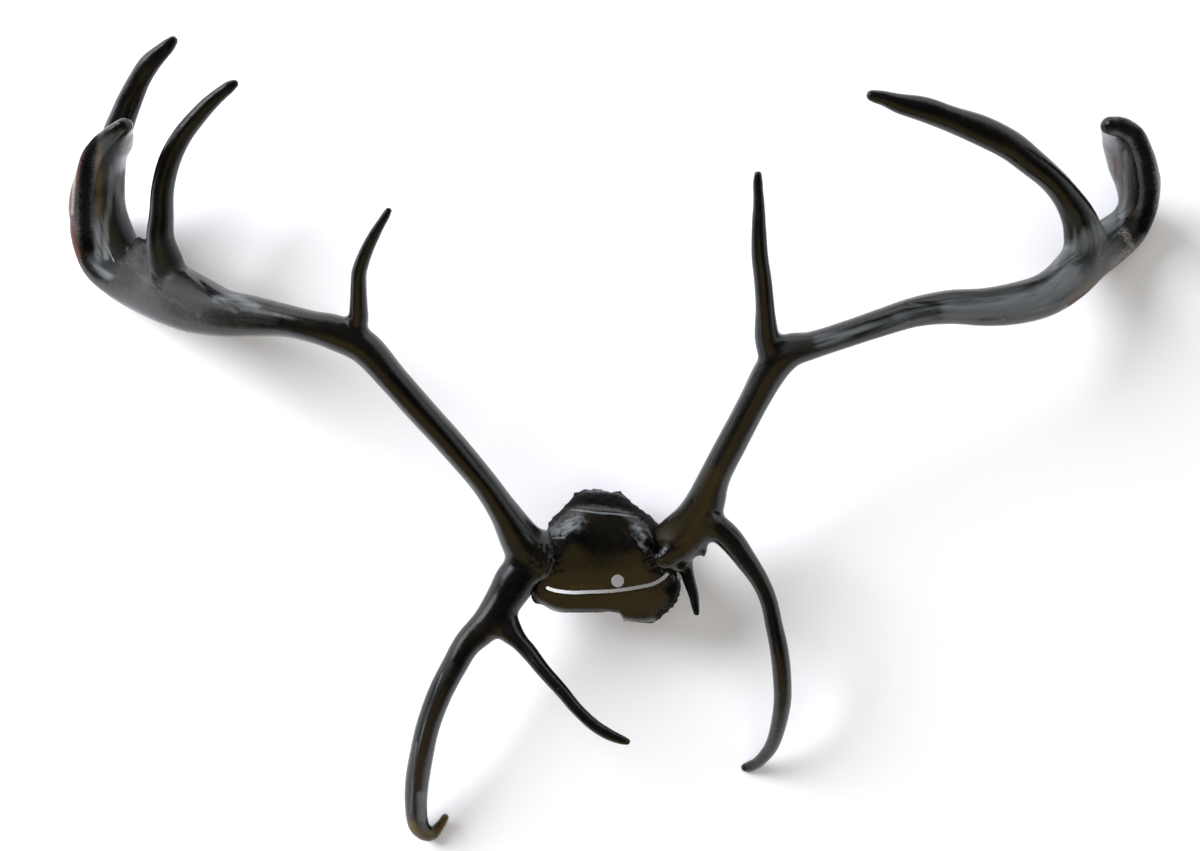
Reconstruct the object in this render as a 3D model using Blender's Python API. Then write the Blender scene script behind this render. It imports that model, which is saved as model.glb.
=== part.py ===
"""A pair of reindeer antlers on a sawn skull plate, lying face up on a floor.

The pair rests on four points: the tips of the two bez tines and the outer elbows of the
two beams. Everything else arches over the floor. +Z is up, +Y runs from the forehead
towards the back of the head, +X is towards the antler on the right of the page.

Each route is a list of stations (x, y, z, width, depth, roll), in millimetres and degrees.
x and y are plan distances as an eye EYE_HEIGHT above the floor sees them, measured from the
point under that eye, and width is seen from there too. z is the real height of the middle
of the antler, and depth is its real thickness across the width. Roll turns the section
about the route, which is how a palm stands on edge.
"""

import math

import bmesh
import bpy
import numpy as np
from mathutils import Vector

MM = 0.001

# Driving dimensions, in millimetres
EYE_HEIGHT = 1667.0
MIDDLE = (12.0, -25.0)
GAP = 0.3
ROOM = 0.6
RING_STEP = 15.0
BEAM_SIDES = 14
TINE_SIDES = 10

# The antler on the left of the page: burr, beam and palm are one route
LEFT_BEAM = [
    (-38, -140, 72, 40, 38, 0),
    (-50, -136, 74, 44, 42, 0),
    (-61, -130, 77, 53, 48, 0),
    (-77, -117, 84, 44, 42, 0),
    (-95.5, -87, 98, 31, 35, 0),
    (-115.5, -58, 112, 27, 31, 0),
    (-145.5, -22, 131, 28, 31, 0),
    (-174.5, 10, 146, 29, 31, 0),
    (-206.5, 46, 159, 30, 31, 0),
    (-234.5, 77, 166, 34, 32, 0),
    (-262.3, 92, 169, 36, 32, 0),
    (-288.3, 99, 167, 32, 31, 0),
    (-315.3, 105, 160, 33, 31, 0),
    (-345.3, 109, 148, 41, 31, 0),
    (-375.3, 112, 130, 48, 32, 0),
    (-401.3, 120, 108, 58, 33, 0),
    (-425.3, 130, 85, 63, 35, 0),
    (-450.3, 142, 55, 64, 38, 0),
    (-476, 153, 31, 57, 38, 0),
    (-494.5, 163, 20.3, 47.5, 38, 0),
    (-504.5, 176.5, 18.5, 39.5, 38, 1),
    (-508.5, 193.5, 26, 35.5, 42, 3),
    (-507, 211, 41, 32, 49, 6),
    (-505, 229, 64, 30, 57, 9),
    (-504, 249, 90, 26, 59, 10),
    (-499, 267, 114, 23, 53, 9),
    (-492, 283, 138, 21, 44, 7),
    (-484, 295, 158, 18, 31, 3),
    (-476, 300, 169, 12, 14, 0),
]
LEFT_BEAM_ENDS = {"burr": 1, "fork": 10, "palm": 18}

LEFT_BEZ = [
    (-70, -135, 82, 38, 34, 0),
    (-84, -154, 82, 42, 36, 0),
    (-96, -174, 82, 38, 34, 0),
    (-111.5, -197, 84, 34, 31, 0),
    (-132.5, -218, 87, 28, 28, 0),
    (-145.5, -240, 88, 26, 27, 0),
    (-159.5, -267, 85, 25, 26, 0),
    (-170.5, -296, 77, 24, 25, 0),
    (-177.5, -325, 64, 24, 25, 0),
    (-182.5, -354, 47, 24, 24, 0),
    (-184, -379, 32, 22, 22, 0),
    (-181, -400, 17, 20, 19, 0),
    (-170, -409, 7.4, 14, 15, 0),
    (-161, -401, 5.5, 9, 10, 0),
    (-155, -392, 8, 4, 5, 0),
]

LEFT_BROW = [
    (-102, -184, 82, 30, 22, 0),
    (-92, -203, 86, 27, 23, 0),
    (-81, -216, 92, 18, 19, 0),
    (-71.4, -226.4, 96, 16.5, 17, 0),
    (-56.4, -245.4, 105, 14.5, 15, 0),
    (-38.4, -265.4, 113, 13.5, 13, 0),
    (-23.4, -283.4, 119, 12.5, 12, 0),
    (-6.4, -299.4, 124, 12.5, 11, 0),
    (9.6, -309.4, 127, 11.5, 9, 0),
    (21.6, -314.4, 129, 8.5, 7, 0),
    (27.6, -316.4, 130, 5.5, 3, 0),
]

LEFT_REAR = [
    (-248, 90, 168, 26, 22, 0),
    (-242, 106, 176, 21, 20, 0),
    (-241.5, 121, 184, 18, 17, 0),
    (-241.5, 140, 192, 16, 15, 0),
    (-240.5, 155, 198, 15, 14, 0),
    (-233.5, 175, 206, 13, 12, 0),
    (-224.5, 193, 212, 11, 10, 0),
    (-215.5, 208, 217, 7, 6, 0),
    (-211.5, 215, 219, 3, 2, 0),
]

LEFT_CROWN_OUTER = [
    (-474, 166, 33, 40, 26, 0),
    (-484, 190, 41, 38, 30, 0),
    (-490, 216, 53, 33, 30, 0),
    (-490, 240, 67, 30, 27, 0),
    (-487, 265, 81, 27, 25, 0),
    (-482, 290, 94, 25, 23, 0),
    (-477.5, 307, 102, 27, 22, 0),
    (-470.5, 325, 112, 25, 20, 0),
    (-460.5, 346, 118, 22, 18, 0),
    (-449.5, 363, 123, 19, 15, 0),
    (-433, 379, 127, 9, 10, 0),
    (-427, 385, 128, 4, 4, 0),
]

LEFT_CROWN_INNER = [
    (-428.5, 138, 82, 38, 18, 0),
    (-434.5, 163, 88, 36, 26, 0),
    (-439.5, 187, 98, 28, 26, 0),
    (-438.5, 211, 106, 24, 23, 0),
    (-437.2, 237, 114, 22.5, 22, 0),
    (-430.2, 265, 122, 21.5, 21, 0),
    (-418.2, 289, 129, 19.5, 19, 0),
    (-403.2, 308, 135, 17.5, 17, 0),
    (-387.2, 325, 140, 13.5, 14, 0),
    (-371.5, 338, 144, 8, 8, 0),
    (-365.5, 342, 145, 3, 3, 0),
]

# The antler on the right of the page
RIGHT_BEAM = [
    (47, -134.5, 70, 34, 36, 0),
    (58, -129.5, 73, 38, 42, 0),
    (69, -123.5, 77, 43, 46, 0),
    (83, -112.5, 84, 45, 42, 0),
    (95, -96.5, 92, 45, 38, 0),
    (105, -77.5, 101, 40, 35, 0),
    (115, -50.5, 113, 32, 32, 0),
    (133.5, -14.5, 131, 30.5, 31, 0),
    (154.5, 25.5, 149, 30.5, 31, 0),
    (171, 55.5, 162, 34, 33, 0),
    (187, 73.5, 169, 36, 33, 0),
    (213, 80.5, 170, 28, 31, 0),
    (250, 92.5, 169, 27, 30, 0),
    (280, 102.5, 167, 28, 30, 0),
    (315, 113.5, 161, 30, 30, 0),
    (350, 118.5, 152, 34, 30, 0),
    (385, 118.5, 139, 38, 31, 0),
    (415.5, 122, 121, 42, 32, 0),
    (446, 131, 97, 44, 34, 0),
    (469.5, 147.5, 67, 46, 36, 0),
    (488.5, 166.5, 39, 47, 39, 0),
    (506.5, 181.5, 22.2, 47, 38, 0),
    (523, 194.5, 18.4, 44, 38, -1),
    (532.5, 207.5, 21.4, 39, 38, -3),
    (537, 222.5, 33, 34, 42, -6),
    (536, 240, 51, 30, 49, -9),
    (532, 258, 77, 26, 54, -10),
    (528, 275, 104, 23, 52, -9),
    (524, 289, 129, 21, 43, -7),
    (518, 298, 149, 18, 29, -3),
    (510, 301, 162, 12, 13, 0),
]
RIGHT_BEAM_ENDS = {"burr": 1, "fork": 10, "palm": 21}

RIGHT_BEZ = [
    (100, -92, 94, 26, 24, 0),
    (118, -103, 94, 27, 27, 0),
    (132, -116, 96, 25.5, 26, 0),
    (147, -136, 99, 21.5, 23, 0),
    (160, -156, 101, 18.5, 20, 0),
    (169, -177, 102, 17.5, 19, 0),
    (174, -200, 101, 17.5, 18, 0),
    (179, -225, 97, 18.5, 18, 0),
    (182, -252, 86, 18.5, 18, 0),
    (182, -277, 71, 17.5, 17, 0),
    (178, -301, 52, 15.5, 15, 0),
    (171, -321, 32, 13.5, 13, 0),
    (160, -335, 15, 11.5, 11, 0),
    (150, -341, 4.3, 9.5, 9, 0),
    (145, -342, 2.3, 5.5, 5, 0),
]

RIGHT_BROW = [
    (83.5, -126, 74, 21.5, 18, 0),
    (85.5, -141, 73, 15.5, 15, 0),
    (89.5, -156, 75, 12.5, 12, 0),
    (93.5, -169, 78, 10.5, 10, 0),
    (95.5, -181, 81, 7.5, 7, 0),
    (96.5, -188, 82, 4.5, 3, 0),
]

RIGHT_REAR = [
    (174, 66, 166, 30, 24, 0),
    (168, 86, 176, 26, 24, 0),
    (166, 102, 185, 22, 20, 0),
    (165, 120, 194, 19, 17, 0),
    (163, 146, 204, 18, 15, 0),
    (160, 170, 212, 17, 14, 0),
    (159, 195, 219, 15, 12, 0),
    (159, 220, 225, 12, 10, 0),
    (158, 241, 229, 9, 7, 0),
    (158, 251, 231, 5, 3, 0),
]

RIGHT_CROWN = [
    (483, 170, 60, 36, 30, 0),
    (483, 191, 76, 39, 30, 0),
    (478, 209, 87, 34, 27, 0),
    (467, 228.2, 97, 28, 25, 0),
    (452, 246.2, 107, 26, 24, 0),
    (431, 264.2, 117, 28, 23, 0),
    (409, 281.2, 126, 30, 23, 0),
    (381, 295.2, 135, 30, 22, 0),
    (350, 307, 143, 26, 22, 0),
    (325, 316, 149, 25, 20, 0),
    (300, 322, 154, 20, 17, 0),
    (285, 327, 157, 14, 13, 0),
    (276, 329, 158, 8, 8, 0),
    (272, 330, 159, 3, 3, 0),
]

# The skull plate: its outline in plan, from the back of the head round by the right
SKULL_OUTLINE = [
    (-3, -65), (11, -67), (19, -66), (26, -72), (30, -77), (40, -84), (48, -90),
    (56, -97), (61, -106), (65, -116), (70, -126), (75, -136), (79, -146), (80, -157),
    (79, -168), (75, -177), (66, -186), (60, -193), (52, -198), (40, -197), (30, -196),
    (24, -196), (20, -188), (10, -186), (-2, -187), (-14, -187), (-27, -187), (-39, -187),
    (-48, -185), (-57, -179), (-65, -178), (-69, -172), (-68, -162), (-65, -150),
    (-62, -138), (-59, -124), (-55, -110), (-51, -99), (-45, -91), (-38, -84), (-31, -77),
    (-24, -68), (-15, -65),
]
SKULL_MIDDLE = (4.0, -128.0)
SAW_PLANE = 36.0
BONE_WALL = 7.0
RIM_WIDTH = 9.0
EDGE_HEIGHT = 60.0
FOREHEAD_HEIGHT = 96.0
FOREHEAD_CREST_Y = -118.0
BACK_FALL = 0.0025
FRONT_FALL = 0.004
BROW_BULGE = 8.0
BULGE_WIDTH = 26.0
BULGES = [(-32.0, -104.0), (38.0, -112.0)]
TOP_RINGS = (0.0, 0.2, 0.4, 0.58, 0.72, 0.83, 0.91, 0.97, 1.0)
CAVITY_RINGS = (0.95, 0.8, 0.55, 0.3)

HOLE_AT = (17.6, -155.5)
HOLE_DIAMETER = 12.0
HOLE_SIDES = 20
CUT_FROM = 28.0
CUT_TO = 116.0
SLIT_WIDTH = 3.4
SLIT_STEPS = 25
SLIT = [
    (-54, -162), (-45, -165), (-29, -167), (-11, -166.5), (12, -165.5),
    (34, -162.5), (53, -158.5), (64, -152), (69, -146),
]

BLACK = (0.012, 0.012, 0.013)
BROWN_BLACK = (0.020, 0.015, 0.010)
BEAM_ROUGHNESS = 0.28
SKULL_ROUGHNESS = 0.35
CREASE_DEG = 50


def clear_scene():
    for thing in list(bpy.data.objects):
        bpy.data.objects.remove(thing, do_unlink=True)


def seen_scale(z):
    """How much smaller a thing at height z is than it looks against the floor."""
    return 1.0 - np.asarray(z, float) / EYE_HEIGHT


def placed(x, y, z):
    """Plan distances as the eye sees them, and a height, to a real place in metres."""
    shrink = seen_scale(z)
    return np.stack(
        [
            (np.asarray(x, float) * shrink - MIDDLE[0]) * MM,
            (np.asarray(y, float) * shrink - MIDDLE[1]) * MM,
            np.asarray(z, float) * np.ones_like(shrink) * MM,
        ],
        axis=-1,
    )


def smooth_rows(rows, at):
    """Rows of numbers read at fractional positions along a Catmull-Rom curve through them."""
    rows = np.asarray(rows, float)
    last = len(rows) - 1
    padded = np.vstack([2 * rows[0] - rows[1], rows, 2 * rows[-1] - rows[-2]])
    low = np.clip(np.floor(at).astype(int), 0, last - 1)
    t = (at - low)[:, None]
    a, b, c, d = (padded[low + i] for i in range(4))
    return 0.5 * (
        2 * b + (c - a) * t + (2 * a - 5 * b + 4 * c - d) * t**2
        + (3 * b - a - 3 * c + d) * t**3
    )


def ring_positions(rows, start, end, step):
    """Fractional station numbers between start and end, about step millimetres apart."""
    fine = np.linspace(start, end, 400)
    points = smooth_rows(rows, fine)[:, :3]
    along = np.concatenate([[0], np.cumsum(np.linalg.norm(np.diff(points, axis=0), axis=1))])
    count = max(3, int(round(along[-1] / step)) + 1)
    return np.interp(np.linspace(0, along[-1], count), along, fine)


def sections(rows, at, sides, swell):
    """Rings of points round a route: ellipses across it, made wider by swell all round."""
    read = smooth_rows(rows, at)
    middle = placed(read[:, 0], read[:, 1], read[:, 2])
    nudge = 1e-3
    ahead = smooth_rows(rows, np.minimum(at + nudge, len(rows) - 1))
    behind = smooth_rows(rows, np.maximum(at - nudge, 0))
    tangent = placed(*ahead[:, :3].T) - placed(*behind[:, :3].T)
    tangent /= np.linalg.norm(tangent, axis=1)[:, None]
    across = np.cross(tangent, (0.0, 0.0, 1.0))
    across /= np.linalg.norm(across, axis=1)[:, None]
    up = np.cross(across, tangent)
    roll = np.radians(read[:, 5])[:, None]
    wide = across * np.cos(roll) + up * np.sin(roll)
    deep = up * np.cos(roll) - across * np.sin(roll)
    half_wide = (read[:, 3] * seen_scale(read[:, 2]) / 2 + swell) * MM
    half_deep = (read[:, 4] / 2 + swell) * MM
    turn = np.linspace(0, 2 * math.pi, sides, endpoint=False)
    return (
        middle[:, None]
        + wide[:, None] * (half_wide[:, None] * np.cos(turn))[..., None]
        + deep[:, None] * (half_deep[:, None] * np.sin(turn))[..., None]
    ), tangent


def object_of(name, points, faces):
    mesh = bpy.data.meshes.new(name)
    mesh.from_pydata([tuple(p) for p in points], [], faces)
    shape = bmesh.new()
    shape.from_mesh(mesh)
    bmesh.ops.recalc_face_normals(shape, faces=shape.faces)
    shape.to_mesh(mesh)
    shape.free()
    mesh.shade_smooth()
    thing = bpy.data.objects.new(name, mesh)
    bpy.context.collection.objects.link(thing)
    return thing


def tube_along(name, rows, sides, start=0, end=None, swell=0.0, trim=0.0):
    """A tapering branch between two stations. A last station is rounded off to a tip."""
    whole = end is None or end == len(rows) - 1
    end = len(rows) - 1 if end is None else end
    at = ring_positions(rows, start, end, RING_STEP)
    rings, tangent = sections(rows, at, sides, swell)
    rings[0] += tangent[0] * (trim - swell) * MM
    if not whole:
        rings[-1] -= tangent[-1] * (trim - swell) * MM
    count = len(rings)
    points = rings.reshape(-1, 3)
    faces = [
        (r * sides + s, r * sides + (s + 1) % sides,
         (r + 1) * sides + (s + 1) % sides, (r + 1) * sides + s)
        for r in range(count - 1)
        for s in range(sides)
    ]
    faces.append(tuple(range(sides))[::-1])
    if whole:
        reach = np.linalg.norm(rings[-1][0] - rings[-1].mean(axis=0))
        tip = rings[-1].mean(axis=0) + tangent[-1] * reach
        points = np.vstack([points, tip])
        ring = (count - 1) * sides
        faces += [(ring + s, ring + (s + 1) % sides, len(points) - 1) for s in range(sides)]
    else:
        faces.append(tuple((count - 1) * sides + s for s in range(sides)))
    return object_of(name, points, faces)


def as_cutter(thing):
    thing.hide_render = True
    thing.display_type = "WIRE"
    return thing


def boolean(thing, other, operation):
    modifier = thing.modifiers.new(other.name, "BOOLEAN")
    modifier.operation = operation
    modifier.object = other
    modifier.solver = "EXACT"


def finish(thing, colour, roughness):
    """Smooth shading with real edges kept sharp, and the piece's own material."""
    thing.data.set_sharp_from_angle(angle=math.radians(CREASE_DEG))
    material = bpy.data.materials.new(thing.name)
    material.use_nodes = True
    shader = material.node_tree.nodes["Principled BSDF"]
    shader.inputs["Base Color"].default_value = (*colour, 1.0)
    shader.inputs["Roughness"].default_value = roughness
    thing.data.materials.append(material)


def skull_top(x, y, share):
    """Height of the forehead: a dome with a bulge before each antler, steep at its edge."""
    fall = np.where(y < FOREHEAD_CREST_Y, FRONT_FALL, BACK_FALL)
    dome = FOREHEAD_HEIGHT - fall * (y - FOREHEAD_CREST_Y) ** 2
    for bx, by in BULGES:
        dome = dome + BROW_BULGE * np.exp(-((x - bx) ** 2 + (y - by) ** 2) / BULGE_WIDTH**2)
    return EDGE_HEIGHT + (dome - EDGE_HEIGHT) * np.sqrt(np.clip(1 - share**4, 0, 1))


def skull_shell():
    """The cap as a bowl upside down: a domed outside, a flat sawn rim and a hollow inside."""
    spokes = np.array(SKULL_OUTLINE, float)[::-1] - SKULL_MIDDLE
    inner = 1 - RIM_WIDTH / np.linalg.norm(spokes, axis=1)
    rings = []

    def ring(share, height):
        x = SKULL_MIDDLE[0] + spokes[:, 0] * share
        y = SKULL_MIDDLE[1] + spokes[:, 1] * share
        z = height(x, y) if callable(height) else np.full_like(x, height)
        rings.append(placed(x, y, z))

    for share in TOP_RINGS[1:]:
        ring(share, lambda x, y, share=share: skull_top(x, y, share))
    ring(1.0, SAW_PLANE)
    ring(inner, SAW_PLANE)
    for share in CAVITY_RINGS:
        ring(inner * share, lambda x, y, share=share: skull_top(x, y, inner * share) - BONE_WALL)
    count = len(rings)
    middle = np.array([SKULL_MIDDLE[0]]), np.array([SKULL_MIDDLE[1]])
    top = skull_top(*middle, 0.0)
    points = np.vstack(rings + [placed(*middle, top), placed(*middle, top - BONE_WALL)])
    n = len(spokes)
    faces = [
        (r * n + s, r * n + (s + 1) % n, (r + 1) * n + (s + 1) % n, (r + 1) * n + s)
        for r in range(count - 1)
        for s in range(n)
    ]
    faces += [(s, (s + 1) % n, count * n) for s in range(n)]
    last = (count - 1) * n
    faces += [(last + s, last + (s + 1) % n, count * n + 1) for s in range(n)]
    return object_of("skull_plate", points, faces)


def slit_cutter():
    """A thin upright slab that follows the saw kerf across the front of the forehead."""
    path = smooth_rows(SLIT, np.linspace(0, len(SLIT) - 1, SLIT_STEPS))
    along = np.gradient(path, axis=0)
    along /= np.linalg.norm(along, axis=1)[:, None]
    side = np.stack([-along[:, 1], along[:, 0]], axis=1) * SLIT_WIDTH / 2
    edge = np.vstack([path + side, (path - side)[::-1]])
    n = len(edge)
    low = placed(edge[:, 0], edge[:, 1], np.full(n, CUT_FROM))
    high = placed(edge[:, 0], edge[:, 1], np.full(n, CUT_TO))
    faces = [(i, (i + 1) % n, n + (i + 1) % n, n + i) for i in range(n)]
    faces += [tuple(range(n))[::-1], tuple(range(n, 2 * n))]
    return as_cutter(object_of("slit_cutter", np.vstack([low, high]), faces))


def hole_cutter():
    top = placed(*HOLE_AT, CUT_TO)
    foot = placed(*HOLE_AT, CUT_FROM)
    shape = bmesh.new()
    radius = HOLE_DIAMETER / 2 * MM
    bmesh.ops.create_cone(
        shape, cap_ends=True, segments=HOLE_SIDES, radius1=radius, radius2=radius,
        depth=np.linalg.norm(top - foot),
    )
    mesh = bpy.data.meshes.new("hole_cutter")
    shape.to_mesh(mesh)
    shape.free()
    thing = bpy.data.objects.new("hole_cutter", mesh)
    bpy.context.collection.objects.link(thing)
    thing.location = Vector((top + foot) / 2)
    thing.rotation_euler = Vector(top - foot).to_track_quat("Z", "Y").to_euler()
    return as_cutter(thing)


def build_antler(side, beam, ends, parts):
    """One antler: its beam in three lengths, and every tine fitted to what it grows from."""
    lengths = {
        "lower_beam": (ends["burr"], ends["fork"]),
        "upper_beam": (ends["fork"], ends["palm"]),
        "palm": (ends["palm"], None),
    }
    made, around = {}, {}
    for name, (start, end) in lengths.items():
        made[name] = tube_along(f"{side}_{name}", beam, BEAM_SIDES, start, end, trim=GAP / 2)
        around[name] = as_cutter(
            tube_along(f"{side}_{name}_room", beam, BEAM_SIDES, start, end, swell=ROOM)
        )
    for name, rows, parents in parts:
        made[name] = tube_along(f"{side}_{name}", rows, TINE_SIDES)
        around[name] = as_cutter(tube_along(f"{side}_{name}_room", rows, TINE_SIDES, swell=ROOM))
        for parent in parents:
            boolean(made[name], around[parent], "DIFFERENCE")
    for thing in made.values():
        finish(thing, BLACK, BEAM_ROUGHNESS)
    return around


def build_skull():
    skull = skull_shell()
    for side, beam, ends in (
        ("left", LEFT_BEAM, LEFT_BEAM_ENDS),
        ("right", RIGHT_BEAM, RIGHT_BEAM_ENDS),
    ):
        stub = tube_along(f"{side}_pedicle", beam, BEAM_SIDES, 0, ends["burr"], trim=GAP / 2)
        boolean(skull, as_cutter(stub), "UNION")
    boolean(skull, slit_cutter(), "DIFFERENCE")
    boolean(skull, hole_cutter(), "DIFFERENCE")
    return skull


def main():
    clear_scene()
    left = build_antler("left", LEFT_BEAM, LEFT_BEAM_ENDS, [
        ("bez_tine", LEFT_BEZ, ["lower_beam"]),
        ("brow_tine", LEFT_BROW, ["lower_beam", "bez_tine"]),
        ("rear_tine", LEFT_REAR, ["lower_beam", "upper_beam"]),
        ("crown_tine_outer", LEFT_CROWN_OUTER, ["upper_beam", "palm"]),
        ("crown_tine_inner", LEFT_CROWN_INNER, ["upper_beam"]),
    ])
    right = build_antler("right", RIGHT_BEAM, RIGHT_BEAM_ENDS, [
        ("bez_tine", RIGHT_BEZ, ["lower_beam"]),
        ("brow_tine", RIGHT_BROW, ["lower_beam"]),
        ("rear_tine", RIGHT_REAR, ["lower_beam", "upper_beam"]),
        ("crown_tine", RIGHT_CROWN, ["upper_beam", "palm"]),
    ])
    skull = build_skull()
    for around in (left, right):
        for name in ("lower_beam", "bez_tine", "brow_tine"):
            boolean(skull, around[name], "DIFFERENCE")
    finish(skull, BROWN_BLACK, SKULL_ROUGHNESS)


main()
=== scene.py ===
# %% [markdown]
# # A pair of reindeer antlers under black lacquer
# One animal grew all of this: a piece of its skull, sawn off flat, and the two antlers that
# stand on it. Somebody brushed the whole pair with black gloss lacquer. In this lesson we
# lay it on a pale floor, face up, and look straight down on it.
#
# The solids of the frame are plain tubes with a gap at each fork. Real antler has no seams,
# so each antler becomes one fused skin here, and the skull cap becomes another.

# %% Open the fixed frame
import math

import bpy
import numpy as np
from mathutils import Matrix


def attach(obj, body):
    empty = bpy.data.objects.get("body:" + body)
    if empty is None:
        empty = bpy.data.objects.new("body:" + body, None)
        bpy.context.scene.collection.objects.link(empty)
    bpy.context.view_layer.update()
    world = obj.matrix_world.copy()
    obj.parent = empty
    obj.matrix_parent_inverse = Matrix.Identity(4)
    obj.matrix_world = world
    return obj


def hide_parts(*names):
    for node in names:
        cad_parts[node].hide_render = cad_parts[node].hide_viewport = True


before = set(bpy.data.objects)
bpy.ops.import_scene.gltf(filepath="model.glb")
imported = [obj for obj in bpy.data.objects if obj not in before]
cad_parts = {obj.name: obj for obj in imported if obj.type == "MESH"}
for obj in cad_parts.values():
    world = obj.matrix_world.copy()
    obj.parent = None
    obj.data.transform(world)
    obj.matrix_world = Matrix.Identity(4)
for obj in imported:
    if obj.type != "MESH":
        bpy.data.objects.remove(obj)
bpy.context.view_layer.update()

# %% [markdown]
# ## Where the eye is
# The routes of the antlers were read as an eye above the floor sees them, and then given
# heights. The camera stands at that same eye, so a millimetre on the floor is a pixel.

# %% Set the camera
MM = 0.001
EYE_HEIGHT = 1667.0
MIDDLE = (12.0, -25.0)
SENSOR_WIDE, LENS = 36.0, 50.0


def linked(name, data):
    """A new object around its data, in the scene."""
    thing = bpy.data.objects.new(name, data)
    bpy.context.collection.objects.link(thing)
    return thing


camera_data = bpy.data.cameras.new("camera")
camera_data.lens = LENS
camera_data.sensor_width = SENSOR_WIDE
camera = linked("camera", camera_data)
camera.location = (-MIDDLE[0] * MM, -MIDDLE[1] * MM, EYE_HEIGHT * MM)
bpy.context.scene.camera = camera
bpy.context.scene.view_settings.view_transform = "Standard"
print("floor seen, in mm:", round(EYE_HEIGHT * SENSOR_WIDE / LENS))

# %% [markdown]
# ## The routes
# Each row is a station on the way along a beam or a tine: x, y (plan distances as the eye
# sees them), z (real height), width as seen, depth along the sight, and the roll of the
# section, in millimetres and degrees. Most are the rows that the solids were made from. At
# the ends of the palms and on the left crown tines they differ by up to 4 mm in place and
# 4.5 mm in width. The nub, webs, root and plate have no solid: they fill the forks.

# %% Give the routes of both antlers
LEFT_BEAM = [
    (-38, -140, 72, 40, 38, 0), (-50, -136, 74, 44, 42, 0), (-61, -130, 77, 53, 48, 0),
    (-77, -117, 84, 44, 42, 0), (-95.5, -87, 98, 31, 35, 0), (-115.5, -58, 112, 27, 31, 0),
    (-145.5, -22, 131, 28, 31, 0), (-174.5, 10, 146, 29, 31, 0), (-206.5, 46, 159, 30, 31, 0),
    (-234.5, 77, 166, 34, 32, 0), (-262.3, 92, 169, 36, 32, 0), (-288.3, 99, 167, 32, 31, 0),
    (-315.3, 105, 160, 33, 31, 0), (-345.3, 109, 148, 41, 31, 0), (-375.3, 112, 130, 48, 32, 0),
    (-401.3, 120, 108, 58, 33, 0), (-425.3, 130, 85, 63, 35, 0), (-450.3, 142, 55, 64, 38, 0),
    (-476, 153, 31, 57, 38, 0), (-494.5, 163, 20.3, 47.5, 38, 0),
    (-504.5, 176.5, 18.5, 39.5, 38, 1), (-508.5, 193.5, 26, 35.5, 42, 3),
    (-507, 211, 41, 32, 49, 5), (-504.5, 229, 64, 30, 57, 6.5), (-500, 249, 90, 25, 59, 7.5),
    (-495, 267, 114, 22, 53, 7.5), (-489, 281, 138, 21, 44, 7), (-483, 292, 158, 18, 31, 3),
    (-476, 300, 169, 12, 14, 0),
]

LEFT_BEZ = [
    (-70, -135, 82, 38, 34, 0), (-84, -154, 82, 42, 36, 0), (-96, -174, 82, 38, 34, 0),
    (-111.5, -197, 84, 34, 31, 0), (-132.5, -218, 87, 28, 28, 0), (-145.5, -240, 88, 26, 27, 0),
    (-159.5, -267, 85, 25, 26, 0), (-170.5, -296, 77, 24, 25, 0), (-177.5, -325, 64, 24, 25, 0),
    (-182.5, -354, 47, 24, 24, 0), (-184, -379, 32, 22, 22, 0), (-181, -400, 17, 20, 19, 0),
    (-170, -409, 7.4, 14, 15, 0), (-161, -401, 5.5, 9, 10, 0), (-155, -392, 8, 4, 5, 0),
]

LEFT_BROW = [
    (-102, -184, 82, 30, 22, 0), (-92, -203, 86, 27, 23, 0), (-81, -216, 92, 18, 19, 0),
    (-71.4, -226.4, 96, 16.5, 17, 0), (-56.4, -245.4, 105, 14.5, 15, 0),
    (-38.4, -265.4, 113, 13.5, 13, 0), (-23.4, -283.4, 119, 12.5, 12, 0),
    (-6.4, -299.4, 124, 12.5, 11, 0), (9.6, -309.4, 127, 11.5, 9, 0),
    (21.6, -314.4, 129, 8.5, 7, 0), (27.6, -316.4, 130, 5.5, 3, 0),
]

LEFT_REAR = [
    (-248, 90, 168, 26, 22, 0), (-242, 106, 176, 21, 20, 0), (-241.5, 121, 184, 18, 17, 0),
    (-241.5, 140, 192, 16, 15, 0), (-240.5, 155, 198, 15, 14, 0), (-233.5, 175, 206, 13, 12, 0),
    (-224.5, 193, 212, 11, 10, 0), (-215.5, 208, 217, 7, 6, 0), (-211.5, 215, 219, 3, 2, 0),
]

LEFT_CROWN_OUTER = [
    (-474, 166, 33, 40, 26, 0), (-484, 190, 41, 38, 30, 0), (-490, 216, 53, 33, 30, 0),
    (-490, 240, 67, 30, 27, 0), (-488.5, 265, 81, 30, 25, 0), (-483.5, 290, 94, 29, 23, 0),
    (-477.5, 307, 102, 27, 22, 0), (-470.5, 325, 112, 25, 20, 0), (-460.5, 346, 118, 22, 18, 0),
    (-449.5, 363, 123, 20.5, 16.4, 0), (-433, 379, 127, 13.5, 10.8, 0),
    (-427, 385, 128, 7, 5.6, 0),
]

LEFT_CROWN_INNER = [
    (-428.5, 138, 82, 38, 18, 0), (-434.5, 163, 88, 36, 26, 0), (-439.5, 187, 98, 28, 26, 0),
    (-438.5, 211, 106, 24, 23, 0), (-437.2, 237, 114, 22.5, 22, 0),
    (-430.2, 265, 122, 21.5, 21, 0), (-418.2, 289, 129, 19.5, 19, 0),
    (-403.2, 308, 135, 17.5, 17, 0), (-387.2, 325, 140, 15, 14, 0), (-371.5, 338, 144, 11, 8.8, 0),
    (-365.5, 342, 145, 5, 4, 0),
]

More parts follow.
